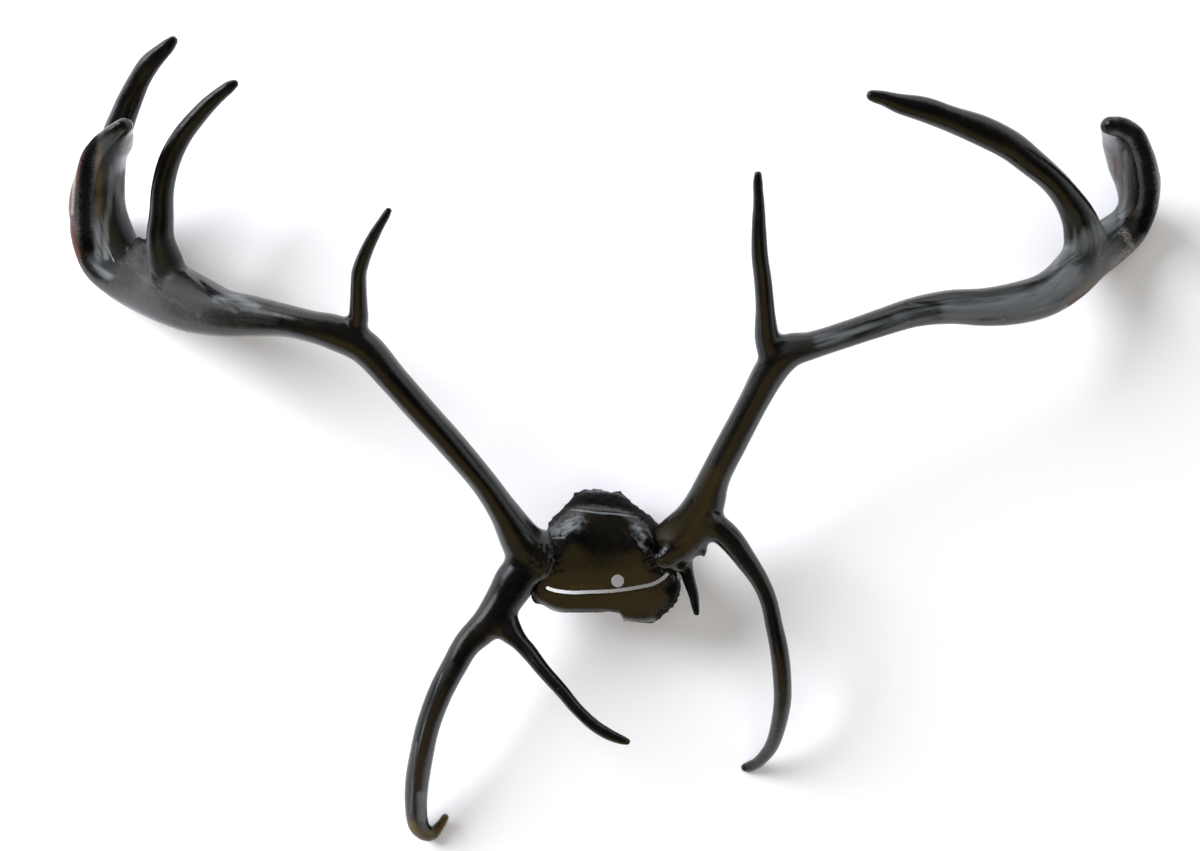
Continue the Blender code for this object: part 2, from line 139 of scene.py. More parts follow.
RIGHT_BEAM = [
    (47, -134.5, 70, 34, 36, 0), (58, -129.5, 73, 38, 42, 0), (69, -123.5, 77, 43, 46, 0),
    (83, -112.5, 84, 45, 42, 0), (95, -96.5, 92, 45, 38, 0), (105, -77.5, 101, 40, 35, 0),
    (115, -50.5, 113, 32, 32, 0), (133.5, -14.5, 131, 30.5, 31, 0),
    (154.5, 25.5, 149, 30.5, 31, 0), (171, 55.5, 162, 34, 33, 0), (187, 73.5, 169, 36, 33, 0),
    (213, 80.5, 170, 28, 31, 0), (250, 92.5, 169, 27, 30, 0), (280, 102.5, 167, 28, 30, 0),
    (315, 113.5, 161, 30, 30, 0), (350, 118.5, 152, 34, 30, 0), (385, 118.5, 139, 38, 31, 0),
    (415.5, 122, 121, 42, 32, 0), (446, 131, 97, 44, 34, 0), (469.5, 147.5, 67, 46, 36, 0),
    (488.5, 166.5, 39, 47, 39, 0), (506.5, 181.5, 22.2, 47, 38, 0), (523, 194.5, 18.4, 44, 38, -1),
    (532.5, 207.5, 21.4, 39, 38, -3), (537, 222.5, 33, 34, 42, -6), (536, 240, 51, 30, 49, -9),
    (532, 258, 77, 26, 54, -10), (528, 275, 104, 23, 52, -9), (524, 289, 129, 21, 43, -7),
    (518, 297.5, 149, 20, 30, -3), (510, 300, 162, 15, 15, 0),
]

RIGHT_BEZ = [
    (100, -92, 94, 26, 24, 0), (118, -103, 94, 27, 27, 0), (132, -116, 96, 25.5, 26, 0),
    (147, -136, 99, 21.5, 23, 0), (160, -156, 101, 18.5, 20, 0), (169, -177, 102, 17.5, 19, 0),
    (174, -200, 101, 17.5, 18, 0), (179, -225, 97, 18.5, 18, 0), (182, -252, 86, 18.5, 18, 0),
    (182, -277, 71, 17.5, 17, 0), (178, -301, 52, 15.5, 15, 0), (171, -321, 32, 13.5, 13, 0),
    (160, -335, 15, 11.5, 11, 0), (150, -341, 4.3, 9.5, 9, 0), (145, -342, 2.3, 5.5, 5, 0),
]

RIGHT_BROW = [
    (83.5, -126, 74, 21.5, 18, 0), (85.5, -141, 73, 15.5, 15, 0), (89.5, -156, 75, 12.5, 12, 0),
    (93.5, -169, 78, 10.5, 10, 0), (95.5, -181, 81, 7.5, 7, 0), (96.5, -188, 82, 4.5, 3, 0),
]

RIGHT_REAR = [
    (174, 66, 166, 30, 24, 0), (168, 86, 176, 26, 24, 0), (166, 102, 185, 22, 20, 0),
    (165, 120, 194, 19, 17, 0), (163, 146, 204, 18, 15, 0), (160, 170, 212, 17, 14, 0),
    (159, 195, 219, 15, 12, 0), (159, 220, 225, 12, 10, 0), (158, 241, 229, 9, 7, 0),
    (158, 251, 231, 5, 3, 0),
]

RIGHT_CROWN = [
    (483, 170, 60, 36, 30, 0), (483, 191, 76, 39, 30, 0), (478, 209, 87, 34, 27, 0),
    (467, 228.2, 97, 28, 25, 0), (452, 246.2, 107, 26, 24, 0), (431, 264.2, 117, 28, 23, 0),
    (409, 281.2, 126, 30, 23, 0), (381, 295.2, 135, 30, 22, 0), (350, 307, 143, 26, 22, 0),
    (325, 316, 149, 25, 20, 0), (300, 322, 154, 20, 17, 0), (285, 327, 157, 14, 13, 0),
    (276, 329, 158, 8, 8, 0), (272, 330, 159, 3, 3, 0),
]

NUB = [
    (98, -112, 88, 22, 16, 0), (100, -120, 88, 17, 13, 0), (103, -127, 88, 10, 9, 0),
    (104, -131, 88, 3, 4, 0),
]

LEFT_WEB = [
    (-424, 134, 86, 36, 20, 10), (-438, 148, 75, 46, 22, 26), (-452, 161, 65, 50, 20, 37),
    (-461, 171, 60, 46, 14, 41), (-466, 178, 58, 36, 8, 42),
]

LEFT_ROOT = [
    (-464, 158, 36, 44, 26, 20), (-482, 180, 42, 42, 28, 24), (-491, 205, 56, 34, 28, 20),
    (-493, 228, 74, 26, 22, 14), (-491, 246, 88, 16, 14, 10),
]

RIGHT_WEB = [
    (447, 133, 92, 28, 20, -10), (463, 148, 77, 40, 22, -24), (479, 166, 63, 48, 20, -36),
    (491, 183, 56, 46, 15, -41), (500, 196, 54, 38, 9, -42),
]

PLATE = [
    (66, -118, 78, 40, 26, -14), (84, -106, 87, 48, 26, -22), (97, -92, 95, 46, 26, -24),
    (107, -72, 106, 36, 24, -18), (115, -48, 116, 24, 20, -8),
]

ANTLERS = {
    "left_antler": {"beam": LEFT_BEAM, "bez": LEFT_BEZ, "brow": LEFT_BROW, "rear": LEFT_REAR,
                    "crown_outer": LEFT_CROWN_OUTER, "crown_inner": LEFT_CROWN_INNER,
                    "web": LEFT_WEB, "root": LEFT_ROOT},
    "right_antler": {"beam": RIGHT_BEAM, "bez": RIGHT_BEZ, "brow": RIGHT_BROW,
                     "rear": RIGHT_REAR, "crown": RIGHT_CROWN, "nub": NUB,
                     "web": RIGHT_WEB, "plate": PLATE},
}
TIP_RADIUS = {"beam": 4.5, "crown": 5.0, "crown_outer": 3.4, "crown_inner": 3.2, "bez": 3.2,
              "brow": 2.0, "rear": 2.8}
print("stations:", sum(len(rows) for routes in ANTLERS.values() for rows in routes.values()))

# %% [markdown]
# ## From stations to a smooth frame
# A Catmull-Rom curve goes through every station. At each point of it we need the direction
# of travel and two axes across it, so that an ellipse can be drawn there.

# %% Read a route at any point
FINE_STEPS = 600
NUDGE = 1e-3
TIP_LENGTH = 16 * MM


def seen_scale(z):
    """How much smaller a thing at height z is than it looks against the floor."""
    return 1.0 - np.asarray(z, float) / EYE_HEIGHT


def placed(x, y, z):
    """Plan distances as the eye sees them, and a height, to a real place in metres."""
    shrink = seen_scale(z)
    return np.stack([(x * shrink - MIDDLE[0]) * MM, (y * shrink - MIDDLE[1]) * MM,
                     np.asarray(z, float) * MM], axis=-1)


def seen_plan(points):
    """The other way round: where the eye sees real points against the floor, in mm."""
    shrink = seen_scale(points[:, 2] / MM)[:, None]
    return (points[:, :2] / MM + MIDDLE) / shrink


def read_rows(rows, at):
    """Cubic through the four stations round each position, with half weights (Catmull-Rom)."""
    rows = np.asarray(rows, float)
    last = len(rows) - 1
    padded = np.vstack([2 * rows[0] - rows[1], rows, 2 * rows[-1] - rows[-2]])
    low = np.clip(np.floor(at).astype(int), 0, last - 1)
    t = (at - low)[:, None]
    a, b, c, d = (padded[low + i] for i in range(4))
    return 0.5 * (2 * b + (c - a) * t + (2 * a - 5 * b + 4 * c - d) * t**2
                  + (3 * b - a - 3 * c + d) * t**3)


def route_frames(rows, spacing, start=0.0, blunt=0.0):
    """Axes along a route every spacing mm: across is travel x up, and up is across x travel,
    both then turned by the roll. Half sizes are in metres, and along is the way gone. A
    blunt tip adds its radius to the half sizes as the long side of a right triangle does."""
    fine = np.linspace(start, len(rows) - 1, FINE_STEPS)
    path = placed(*read_rows(rows, fine)[:, :3].T)
    gone = np.concatenate([[0], np.cumsum(np.linalg.norm(np.diff(path, axis=0), axis=1))])
    count = max(6, int(gone[-1] / (spacing * MM)))
    along = np.linspace(0, gone[-1], count)
    at = np.interp(along, gone, fine)
    read = read_rows(rows, at)
    ahead = placed(*read_rows(rows, np.minimum(at + NUDGE, len(rows) - 1))[:, :3].T)
    behind = placed(*read_rows(rows, np.maximum(at - NUDGE, 0))[:, :3].T)
    travel = ahead - behind
    travel /= np.linalg.norm(travel, axis=1)[:, None]
    across = np.cross(travel, (0.0, 0.0, 1.0))
    across /= np.linalg.norm(across, axis=1)[:, None]
    up = np.cross(across, travel)
    roll = np.radians(read[:, 5])[:, None]
    swell = blunt * np.exp(-(((gone[-1] - along) / TIP_LENGTH) ** 2))
    return {
        "at": at, "along": along, "middle": placed(*read[:, :3].T), "travel": travel,
        "wide": across * np.cos(roll) + up * np.sin(roll),
        "deep": up * np.cos(roll) - across * np.sin(roll),
        "half_wide": np.hypot(read[:, 3] * seen_scale(read[:, 2]) / 2, swell) * MM,
        "half_deep": np.hypot(read[:, 4] / 2, swell) * MM,
    }


beam_gone = route_frames(LEFT_BEAM, 3.0, 1.0)["along"][-1]
print("left beam and palm, along the curve: %.0f mm" % (beam_gone / MM))

# %% [markdown]
# ## A tube with life in it
# A clean ellipse carried along the route looks like plastic pipe. Bone that grew has soft
# lumps, long shallow flutes that run with the blood vessels, a crown of bone pearls where
# the antler starts, and on the palm a hollow face with a raised rim. All of them are one
# number: how far a point is pushed out from its ellipse.

# %% Carry a section along a route
TIP_RINGS = 6


def waves(along, turn, seed, cycles, length):
    """Flutes: a sum of cosines that go round the section cycles times and drift slowly
    along it, so that each flute fades and another begins."""
    rng = np.random.default_rng(seed)
    total = 0.0
    for round_count in cycles:
        phase, drift, share = rng.uniform(0, 2 * math.pi), rng.uniform(-1, 1), rng.uniform(0.5, 1)
        fade = 0.6 + 0.4 * np.sin(along / length * 2 * math.pi + rng.uniform(0, 6))
        total = total + share * fade * np.cos(round_count * turn + phase + drift * along / length)
    return total / len(cycles)


def lofted(rows, sides, relief, start=0.0, spacing=3.0, blunt=0.0):
    """Closed skin of a route: middle + wide a cos t + deep b sin t, and out by relief. The
    last station is rounded: rings shrink with cos while they go on with sin."""
    f = route_frames(rows, spacing, start, blunt)
    turn = np.linspace(0, 2 * math.pi, sides, endpoint=False)
    ring = (f["wide"][:, None] * (f["half_wide"][:, None] * np.cos(turn))[..., None]
            + f["deep"][:, None] * (f["half_deep"][:, None] * np.sin(turn))[..., None])
    size = np.linalg.norm(ring, axis=2, keepdims=True)
    push = relief(f, f["along"][:, None], turn[None, :]) * np.ones(ring.shape[:2])
    ring = ring * (1 + push[..., None] / size)
    tip_angle = np.linspace(0, math.pi / 2, TIP_RINGS)[1:-1]
    tip_size = size[-1].min()
    tip = ring[-1] * np.cos(tip_angle)[:, None, None]
    tip_middle = f["middle"][-1] + f["travel"][-1] * (tip_size * np.sin(tip_angle))[:, None]
    rings = np.concatenate([ring + f["middle"][:, None], tip + tip_middle[:, None]])
    poles = [rings[0].mean(axis=0), f["middle"][-1] + f["travel"][-1] * tip_size]
    return closed_grid(rings, poles)


def closed_grid(rings, poles):
    """A grid of rings joined into quads, with a fan of triangles to a pole at each end."""
    count, sides = rings.shape[:2]
    number = np.arange(count * sides).reshape(count, sides)
    beside = np.roll(number, -1, axis=1)
    quads = np.stack([number[:-1], beside[:-1], beside[1:], number[1:]], axis=-1).reshape(-1, 4)
    first = np.stack([beside[0], number[0], np.full(sides, count * sides)], axis=-1)
    last = np.stack([number[-1], beside[-1], np.full(sides, count * sides + 1)], axis=-1)
    points = np.vstack([rings.reshape(-1, 3), poles])
    return outward(points, quads, np.vstack([first, last]))


def outward(points, quads, triangles):
    """Turns every face round if the volume under them (a sum of triple products) is negative."""
    flat = np.vstack([triangles, quads[:, [0, 1, 2]], quads[:, [0, 2, 3]]])
    a, b, c = (points[flat[:, i]] for i in range(3))
    if np.einsum("ij,ij->i", a, np.cross(b, c)).sum() < 0:
        quads, triangles = quads[:, ::-1], triangles[:, ::-1]
    return points, quads, triangles


# %% [markdown]
# ## What each route is pushed out by
# The beam gets the most: pearls at its burr, flutes on the way, and on the palm the face
# that looks up is hollowed between an outer ridge and a thin inner rim.

# %% Write the relief of beams and tines
FLUTE_DEPTH = 0.45 * MM
LUMP_DEPTH = 0.5 * MM
BURR_LENGTH = 16 * MM
BURR_HEIGHT = 3.2 * MM
BEAM_FLUTES, TINE_FLUTES = ((5, 7, 9, 12, 15), 160 * MM), ((4, 5, 7, 9), 120 * MM)
BEAM_LUMPS, TINE_LUMPS = ((1, 2, 3), 70 * MM), ((1, 2, 3), 60 * MM)
PEARLS, PEARL_PACE = ((9, 13, 17), 60 * MM), 6
COLLAR_AT, COLLAR_WIDTH = BURR_LENGTH * 0.35, BURR_LENGTH * 0.45
PEARL_BASE, PEARL_SHARE = 0.55, 0.45
TINE_SHARE, THIN_SHARE = 0.8, 0.15
PALM_HOLLOW = 5.0 * MM
PALM_STATIONS = 5.0
PALM_RISE, TIP_FALL = 3.5, 1.6
BOX_POWER = 3
HOLLOW_TURN = (2, 30)
HOLLOW_SPREAD = 0.06
BEAM_SIDES, TINE_SIDES = 64, 40
FULL_TINE = 8 * MM


def bump(x, centre, width):
    """A smooth hill, 1 at its centre and fading as a bell."""
    return np.exp(-(((x - centre) / width) ** 2))


def burr_relief(along, turn, seed):
    """A collar at the start of the antler, broken into pearls by waves round and along."""
    pearls = PEARL_BASE + PEARL_SHARE * waves(along * PEARL_PACE, turn, seed, *PEARLS)
    return BURR_HEIGHT * bump(along, COLLAR_AT, COLLAR_WIDTH) * pearls


def beam_relief(seed, palm_from, inner_side):
    """Flutes, lumps and burr. On the palm the upper half swells from an ellipse to a rounded
    box, r = (cos^3 + sin^3)^(-1/3), and a hollow face is sunk on the side of the tines."""
    def relief(f, along, turn):
        push = FLUTE_DEPTH * waves(along, turn, seed, *BEAM_FLUTES)
        push = push + LUMP_DEPTH * waves(along, turn, seed + 1, *BEAM_LUMPS)
        push = push + burr_relief(along, turn, seed + 2)
        on_palm = np.clip((f["at"] - palm_from) / PALM_RISE, 0, 1)[:, None]
        before_tip = np.clip((f["at"][-1] - f["at"]) / TIP_FALL, 0, 1)[:, None]
        c, s = np.cos(turn), np.sin(turn)
        size = np.hypot(f["half_wide"][:, None] * c, f["half_deep"][:, None] * s)
        box = (np.abs(c) ** BOX_POWER + np.abs(s) ** BOX_POWER) ** (-1 / BOX_POWER) - 1
        push = push + size * box * np.clip(2 * s, 0, 1) * on_palm * before_tip
        grown = np.clip((f["at"] - palm_from) / PALM_STATIONS, 0, 1)[:, None]
        middle = np.radians(90 - inner_side * (HOLLOW_TURN[0] + grown * HOLLOW_TURN[1]))
        hollow = np.exp(-((1 - np.cos(turn - middle)) / HOLLOW_SPREAD) ** 2)
        return push - PALM_HOLLOW * on_palm * before_tip * hollow
    return relief


def tine_relief(seed):
    """Flutes and lumps that grow fainter where the tine is thin."""
    def relief(f, along, turn):
        fade = np.clip(f["half_wide"] / FULL_TINE, THIN_SHARE, 1)[:, None]
        push = FLUTE_DEPTH * TINE_SHARE * waves(along, turn, seed, *TINE_FLUTES)
        return fade * (push + LUMP_DEPTH * waves(along, turn, seed + 1, *TINE_LUMPS))
    return relief

# %% [markdown]
# ## Fusing the tubes
# Tubes that run into each other leave a hard crease, which gloss lacquer would show at
# once. The Remesh modifier melts them into one skin of small squares. After that each fork
# is relaxed: its points move towards the middle of their neighbours, most where two routes
# are both near, and the crease fills in like the web of bone that grows there.

# %% Melt shapes into one skin
STEPS_OFF, STEP_ROUNDS = (0.5, -0.52), 3
FILL_SHARE = 0.6
NORMALS_EVERY = 8


def mesh_object(name, points, quads, triangles):
    mesh = bpy.data.meshes.new(name)
    mesh.from_pydata(points.tolist(), [], quads.tolist() + triangles.tolist())
    return linked(name, mesh)


def joined(shapes):
    """Several closed skins as one set of points and faces, with the numbers moved along."""
    points, quads, triangles, first = [], [], [], 0
    for shape_points, shape_quads, shape_triangles in shapes:
        points.append(shape_points)
        quads.append(shape_quads + first)
        triangles.append(shape_triangles + first)
        first += len(shape_points)
    return np.vstack(points), np.vstack(quads), np.vstack(triangles)


def melted(thing, voxel):
    """The object's mesh after a voxel Remesh, as a fresh mesh. The old object goes."""
    remesh = thing.modifiers.new("melt", "REMESH")
    remesh.mode = "VOXEL"
    remesh.voxel_size = voxel * MM
    graph = bpy.context.evaluated_depsgraph_get()
    mesh = bpy.data.meshes.new_from_object(thing.evaluated_get(graph))
    bpy.data.objects.remove(thing, do_unlink=True)
    return mesh


def read_all(items, key, width=1, kind=float):
    """One property of all items of a mesh, as an array with width numbers for each."""
    numbers = np.empty(len(items) * width, dtype=kind)
    items.foreach_get(key, numbers)
    return numbers.reshape(-1, width) if width > 1 else numbers


def read_points(mesh):
    return read_all(mesh.vertices, "co", 3)


def read_normals(mesh):
    return read_all(mesh.vertex_normals, "vector", 3)


def read_edges(mesh):
    return read_all(mesh.edges, "vertices", 2, np.int32)


def write_points(mesh, points):
    mesh.vertices.foreach_set("co", points.ravel())
    mesh.update()


def neighbour_means(points, edges):
    """For every point, the mean of the points that an edge joins it to."""
    a, b = edges.T
    n = len(points)
    total = np.stack([np.bincount(a, points[b, k], n) + np.bincount(b, points[a, k], n)
                      for k in range(3)], axis=1)
    return total / np.bincount(edges.ravel(), minlength=n)[:, None]


def relaxed(points, edges, weight, rounds, shares=(0.5,)):
    """Each round moves a point by a share of the way to the mean of its neighbours. The
    shares STEPS_OFF in turn take the steps off a skin and leave its size."""
    for share in shares * rounds:
        points = points + share * weight[:, None] * (neighbour_means(points, edges) - points)
    return points


def face_corners(mesh):
    """The four corners of every square. A triangle gives its last corner twice."""
    corners = read_all(mesh.loops, "vertex_index", kind=np.int32)
    start, total = (read_all(mesh.polygons, key, kind=np.int32)
                    for key in ("loop_start", "loop_total"))
    return corners[start[:, None] + np.minimum(np.arange(4), total[:, None] - 1)]


def point_normals(points, squares):
    """The cross product of a square's diagonals, summed on its corners and made one long."""
    a, b, c, d = (points[squares[:, i]] for i in range(4))
    across = np.cross(c - a, d - b)
    n = len(points)
    total = np.stack([sum(np.bincount(squares[:, i], across[:, k], n) for i in range(4))
                      for k in range(3)], axis=1)
    return total / np.maximum(np.linalg.norm(total, axis=1), 1e-20)[:, None]


def filled(points, edges, squares, weight, rounds):
    """Relaxes, but lets no point sink: the part of each move along the normal only counts
    when it leads outward. Hollows and creases fill in, and ridges keep their height."""
    for number in range(rounds):
        if number % NORMALS_EVERY == 0:
            normals = point_normals(points, squares)
        move = neighbour_means(points, edges) - points
        sink = np.minimum(np.einsum("ij,ij->i", move, normals), 0)
        points = points + FILL_SHARE * weight[:, None] * (move - sink[:, None] * normals)
    return points

# %% [markdown]
# ## Knowing where a point belongs
# After the melt a point has forgotten its tube. For every point we look up the nearest
# place on each route, so that grooves, wear and grain can follow the bone again.

# %% Find every point on its route
SAMPLE_SPACING = 4.0
BLOCK = 20000


def local_places(points, routes):
    """For each route: the gap from its surface, the offsets across it and the way along it,
    measured at the sample whose middle is nearest."""
    found = []
    for rows in routes.values():
        f = route_frames(rows, SAMPLE_SPACING)
        middle = f["middle"]
        near = np.empty(len(points), dtype=int)
        for first in range(0, len(points), BLOCK):
            block = points[first:first + BLOCK]
            apart = (middle**2).sum(1) - 2 * block @ middle.T
            near[first:first + BLOCK] = apart.argmin(axis=1)
        offset = points - middle[near]
        w, d, t = (np.einsum("ij,ij->i", offset, f[axis][near])
                   for axis in ("wide", "deep", "travel"))
        a, b = f["half_wide"][near], f["half_deep"][near]
        past = np.abs(t) - SAMPLE_SPACING * MM
        gap = np.maximum((np.hypot(w / a, d / b) - 1) * np.sqrt(a * b), past)
        found.append(np.stack([gap, w, d, f["along"][near] + t], axis=1))
    return np.array(found)


def store(mesh, name, values):
    """Keeps one number or one vector per point under a name that a material can read."""
    kind = "FLOAT" if values.ndim == 1 else "FLOAT_VECTOR"
    layer = mesh.attributes.new(name, kind, "POINT")
    layer.data.foreach_set("value" if values.ndim == 1 else "vector",
                           np.ascontiguousarray(values, dtype=np.float32).ravel())


# %% [markdown]
# ## Paint places
# Some marks sit at one spot: a groove that a vessel left, a nick, a rubbed edge. Each is
# given by where the eye sees it on the plan, in millimetres, and turned into a weight from
# 0 to 1 on the points near it.

# %% Measure how near points are to a spot or a line
def spot(plan, x, y, wide, high, turn=0.0):
    """A soft oval: 1 at its middle, and a bell of the turned and scaled distance from it."""
    c, s = math.cos(math.radians(turn)), math.sin(math.radians(turn))
    dx, dy = plan[:, 0] - x, plan[:, 1] - y
    return np.exp(-((dx * c + dy * s) / wide) ** 2 - ((dy * c - dx * s) / high) ** 2)


def line_distance(plan, stops):
    """Distance to a line through stops: to the nearest point of each of its segments."""
    stops = np.asarray(stops, float)
    nearest = np.full(len(plan), 1e9)
    for a, b in zip(stops[:-1], stops[1:]):
        way = b - a
        share = np.clip((plan - a) @ way / (way @ way), 0, 1)
        nearest = np.minimum(nearest, np.linalg.norm(plan - a - share[:, None] * way, axis=1))
    return nearest

# %% [markdown]
# ## Marks of growth
# Vessels left grooves in the webs, the burrs have a rough crust, and there are a few pits
# and swellings. All are small heights that are added to the skin after the melt.

# %% Give the grooves, pits and burrs
GROOVES = {
    "left_antler": [
        [(-464, 174), (-437, 137), (-404, 111)],
        [(-411, 156), (-393, 136), (-364, 115)],
        [(-492, 176), (-458, 146), (-429, 127)],
    ],
    "right_antler": [
        [(307, 122), (362, 120), (403, 125), (433, 135), (454, 147), (470, 165), (474, 184),
         (472, 198), (468, 206)],
        [(330, 110), (380, 107), (420, 113), (446, 126), (462, 142)],
    ],
}
GROOVE_DEPTH = 0.7 * MM
GROOVE_HALF_WIDTH = 2.2
CRUST_DEPTH = 3.0 * MM
CRUST_REACH = 17.0
ANTLER_CRUST, SKULL_CRUST = 9, 8
BURRS = {"left_antler": (-55, -133), "right_antler": (56, -128)}


def crust(points, seed, size):
    """Rough bone: a mean of folded sine waves in seven space directions, about zero."""
    rng = np.random.default_rng(seed)
    total = 0.0
    for step in range(7):
        way = rng.normal(size=3)
        pace = 2 * math.pi / (size * MM * (0.5 + 0.22 * step))
        total = total + np.abs(np.sin(points @ (way / np.linalg.norm(way)) * pace
                                      + rng.uniform(0, 6)))
    return total / 7 - 0.6


PITS = {
    "left_antler": [(-44, -130, 5, 2.2, 40, -1.6), (-40, -150, 2.5, 5, 0, -1.4),
                    (-70, -112, 7, 2, -50, -0.7), (-44, -262, 2.2, 1.4, 0, -0.8)],
    "right_antler": [(55, -122, 7.5, 5.0, 30, -5.0), (62, -131, 9, 2.2, 32, 1.6),
                     (44, -115, 2.0, 6, -30, 1.2), (117, -90, 7, 2.5, -30, -1.6),
                     (84, -118, 9, 3, 30, -0.9), (403, 105, 2.0, 1.4, 60, -0.6),
                     (308, 103, 2.6, 1.2, 0, -0.5)],
}


def pressed(plan, normals, pits):
    """Dents and swellings seen from above: ovals x, y, wide, high, turned, and deep in mm."""
    total = sum(depth * spot(plan, *place) for *place, depth in pits)
    return total * MM * np.clip(normals[:, 2] * 2, 0, 1)


print("grooves:", sum(len(g) for g in GROOVES.values()),
      "pits:", sum(len(p) for p in PITS.values()))

# %% [markdown]
# ## The two antlers
# Now the tubes are made, melted and relaxed. Last comes what was given above, pressed into
# the skin along its normals.

# %% Make the antlers
VOXEL = 1.58
BEAM_START = 0.85
FORK_REACH = 13 * MM
FORK_ROUNDS, SMOOTH_ROUNDS = 130, 8
FLOOR_GAP = 0.15 * MM
GRAIN_STRETCH, GRAIN_SHIFT = 14, 0.05


def antler_skin(name, palm_from, inner_side, seed):
    """Lofts every route, melts them, takes the steps off, fills the forks, presses the marks
    of growth in, and stores a grain that runs along the nearest route."""
    routes = ANTLERS[name]
    shapes = []
    for number, (growth, rows) in enumerate(routes.items()):
        if growth == "beam":
            shapes.append(lofted(rows, BEAM_SIDES, beam_relief(seed, palm_from, inner_side),
                                 start=BEAM_START, blunt=TIP_RADIUS[growth]))
        else:
            shapes.append(lofted(rows, TINE_SIDES, tine_relief(seed + 3 * number),
                                 blunt=TIP_RADIUS.get(growth, 0)))
    mesh = melted(mesh_object(name, *joined(shapes)), VOXEL)
    points, edges = read_points(mesh), read_edges(mesh)
    places = local_places(points, routes)
    gaps = np.sort(places[:, :, 0], axis=0)
    fork = np.exp(-((gaps[1].clip(0) / FORK_REACH) ** 2))
    for growth, place in zip(routes, places):
        if growth in ("web", "root", "plate"):
            fork = np.maximum(fork, np.exp(-((place[:, 0].clip(0) / FORK_REACH) ** 2)))
    points = relaxed(points, edges, np.ones(len(points)), STEP_ROUNDS, STEPS_OFF)
    points = filled(points, edges, face_corners(mesh), fork, FORK_ROUNDS)
    points = relaxed(points, edges, fork, SMOOTH_ROUNDS)
    write_points(mesh, points)

    normals, plan = read_normals(mesh), seen_plan(points)
    facing = np.clip(normals[:, 2] * 2, 0, 1)
    groove = sum(bump(line_distance(plan, stops), 0, GROOVE_HALF_WIDTH)
                 for stops in GROOVES[name]).clip(0, 1) * facing
    burr = np.exp(-(np.hypot(*(plan - BURRS[name]).T) / CRUST_REACH) ** 4)
    rough = CRUST_DEPTH * burr * crust(points, seed, ANTLER_CRUST) - GROOVE_DEPTH * groove
    points = points + normals * (rough + pressed(plan, normals, PITS[name]))[:, None]
    points[:, 2] = np.maximum(points[:, 2], FLOOR_GAP)
    write_points(mesh, points)

    own = places[:, :, 0].argmin(axis=0)
    mine = places[own, np.arange(len(points))]
    lengthwise = mine[:, 3] / GRAIN_STRETCH + own * GRAIN_SHIFT
    store(mesh, "grain", np.stack([mine[:, 1], mine[:, 2], lengthwise], axis=1))
    mesh.shade_smooth()
    thing = linked(name, mesh)
    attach(thing, "root")
    side = name.split("_")[0]
    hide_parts(*[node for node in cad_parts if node.startswith(side + "_")])
    print(name, "points:", len(points), "faces:", len(mesh.polygons))
    return thing, plan, normals


skins = [antler_skin("left_antler", 17.5, 1, 11), antler_skin("right_antler", 20.5, -1, 41)]

# %% [markdown]
# ## The sawn skull cap
# The cap is a bowl turned upside down. Its outline was sawn by hand, so every corner of it
# is given. The forehead is a dome with a swelling before each antler, and behind a sharp
# ridge the bone was broken away and left rough.

# %% Give the outline of the cap
SKULL_OUTLINE = [
    (-3, -65), (11, -67), (19, -66), (26, -72), (30, -77), (40, -84), (48, -90),
    (56, -97), (61, -106), (65, -116), (70, -126), (75, -136), (79, -146), (80, -157),
    (79, -168), (75, -177), (66, -186), (60, -193), (52, -198), (40, -197), (30, -196),
    (24, -196), (20, -188), (10, -186), (-2, -187), (-14, -187), (-27, -187), (-39, -187),
    (-48, -185), (-57, -179), (-65, -178), (-69, -172), (-68, -162), (-65, -150),
    (-62, -138), (-59, -124), (-55, -110), (-51, -99), (-45, -91), (-38, -84), (-31, -77),
    (-24, -68), (-15, -65),
]
SKULL_MIDDLE = (4.0, -128.0)
SAW_PLANE = 36.0
BONE_WALL = 7.0
RIM_WIDTH = 9.0
EDGE_HEIGHT = 60.0
FOREHEAD_HEIGHT = 96.0
FOREHEAD_CREST_Y = -118.0
BACK_FALL = 0.0025
FRONT_FALL = 0.004
BROW_BULGE = 8.0
BULGE_WIDTH = 26.0
BULGES = [(-26.0, -108.0), (46.0, -117.0)]
HOLE_AT = (17.6, -155.5)
HOLE_DIAMETER = 12.0
CUT_FROM = 28.0
CUT_TO = 116.0
SLIT_WIDTH = 3.4
SLIT_STEPS = 25
SLIT = [
    (-54, -162), (-45, -165), (-29, -167), (-11, -166.5), (12, -165.5),
    (34, -162.5), (53, -158.5), (64, -152), (69, -146),
]
BROKEN_RIDGE = [(-62, -112), (-50, -98), (-38, -86), (-27, -81.5), (-15, -82.5), (0, -84.5),
                (15, -85.5), (35, -88.5), (47, -91), (60, -99)]

# %% Shape the forehead
EDGE_POWER = 6
FRONT_POWER = 44
STEEP_FROM_Y, STEEP_OVER = -145, 20
BROKEN_DROP = 3.2
BROKEN_ROUGH = 6.4
RIDGE_SLOPE = 1.6
RIDGE_LIP = 0.5
LIP_AT, LIP_WIDTH = -0.6, 1.1
LUMPY_AT, LUMPY_REACH, LUMPY_FADE = (68, -172), 30, 12
SMOOTH_BONE, LUMPY_BONE = 0.3, 1.6
CHIP_SIZE, LUMP_SIZE, JAG_SIZE = 9, 8, 7
RIPPLES = [(-40.0, -98.0), (-26.0, -94.0), (36.0, -106.0), (46.0, -114.0)]
RIPPLE_DEPTH = 0.22
RIPPLE_WAY, RIPPLE_LENGTH, RIPPLE_WANDER = (0.42, 0.9), 4.6, 1.8
RIPPLE_SPREAD = 120


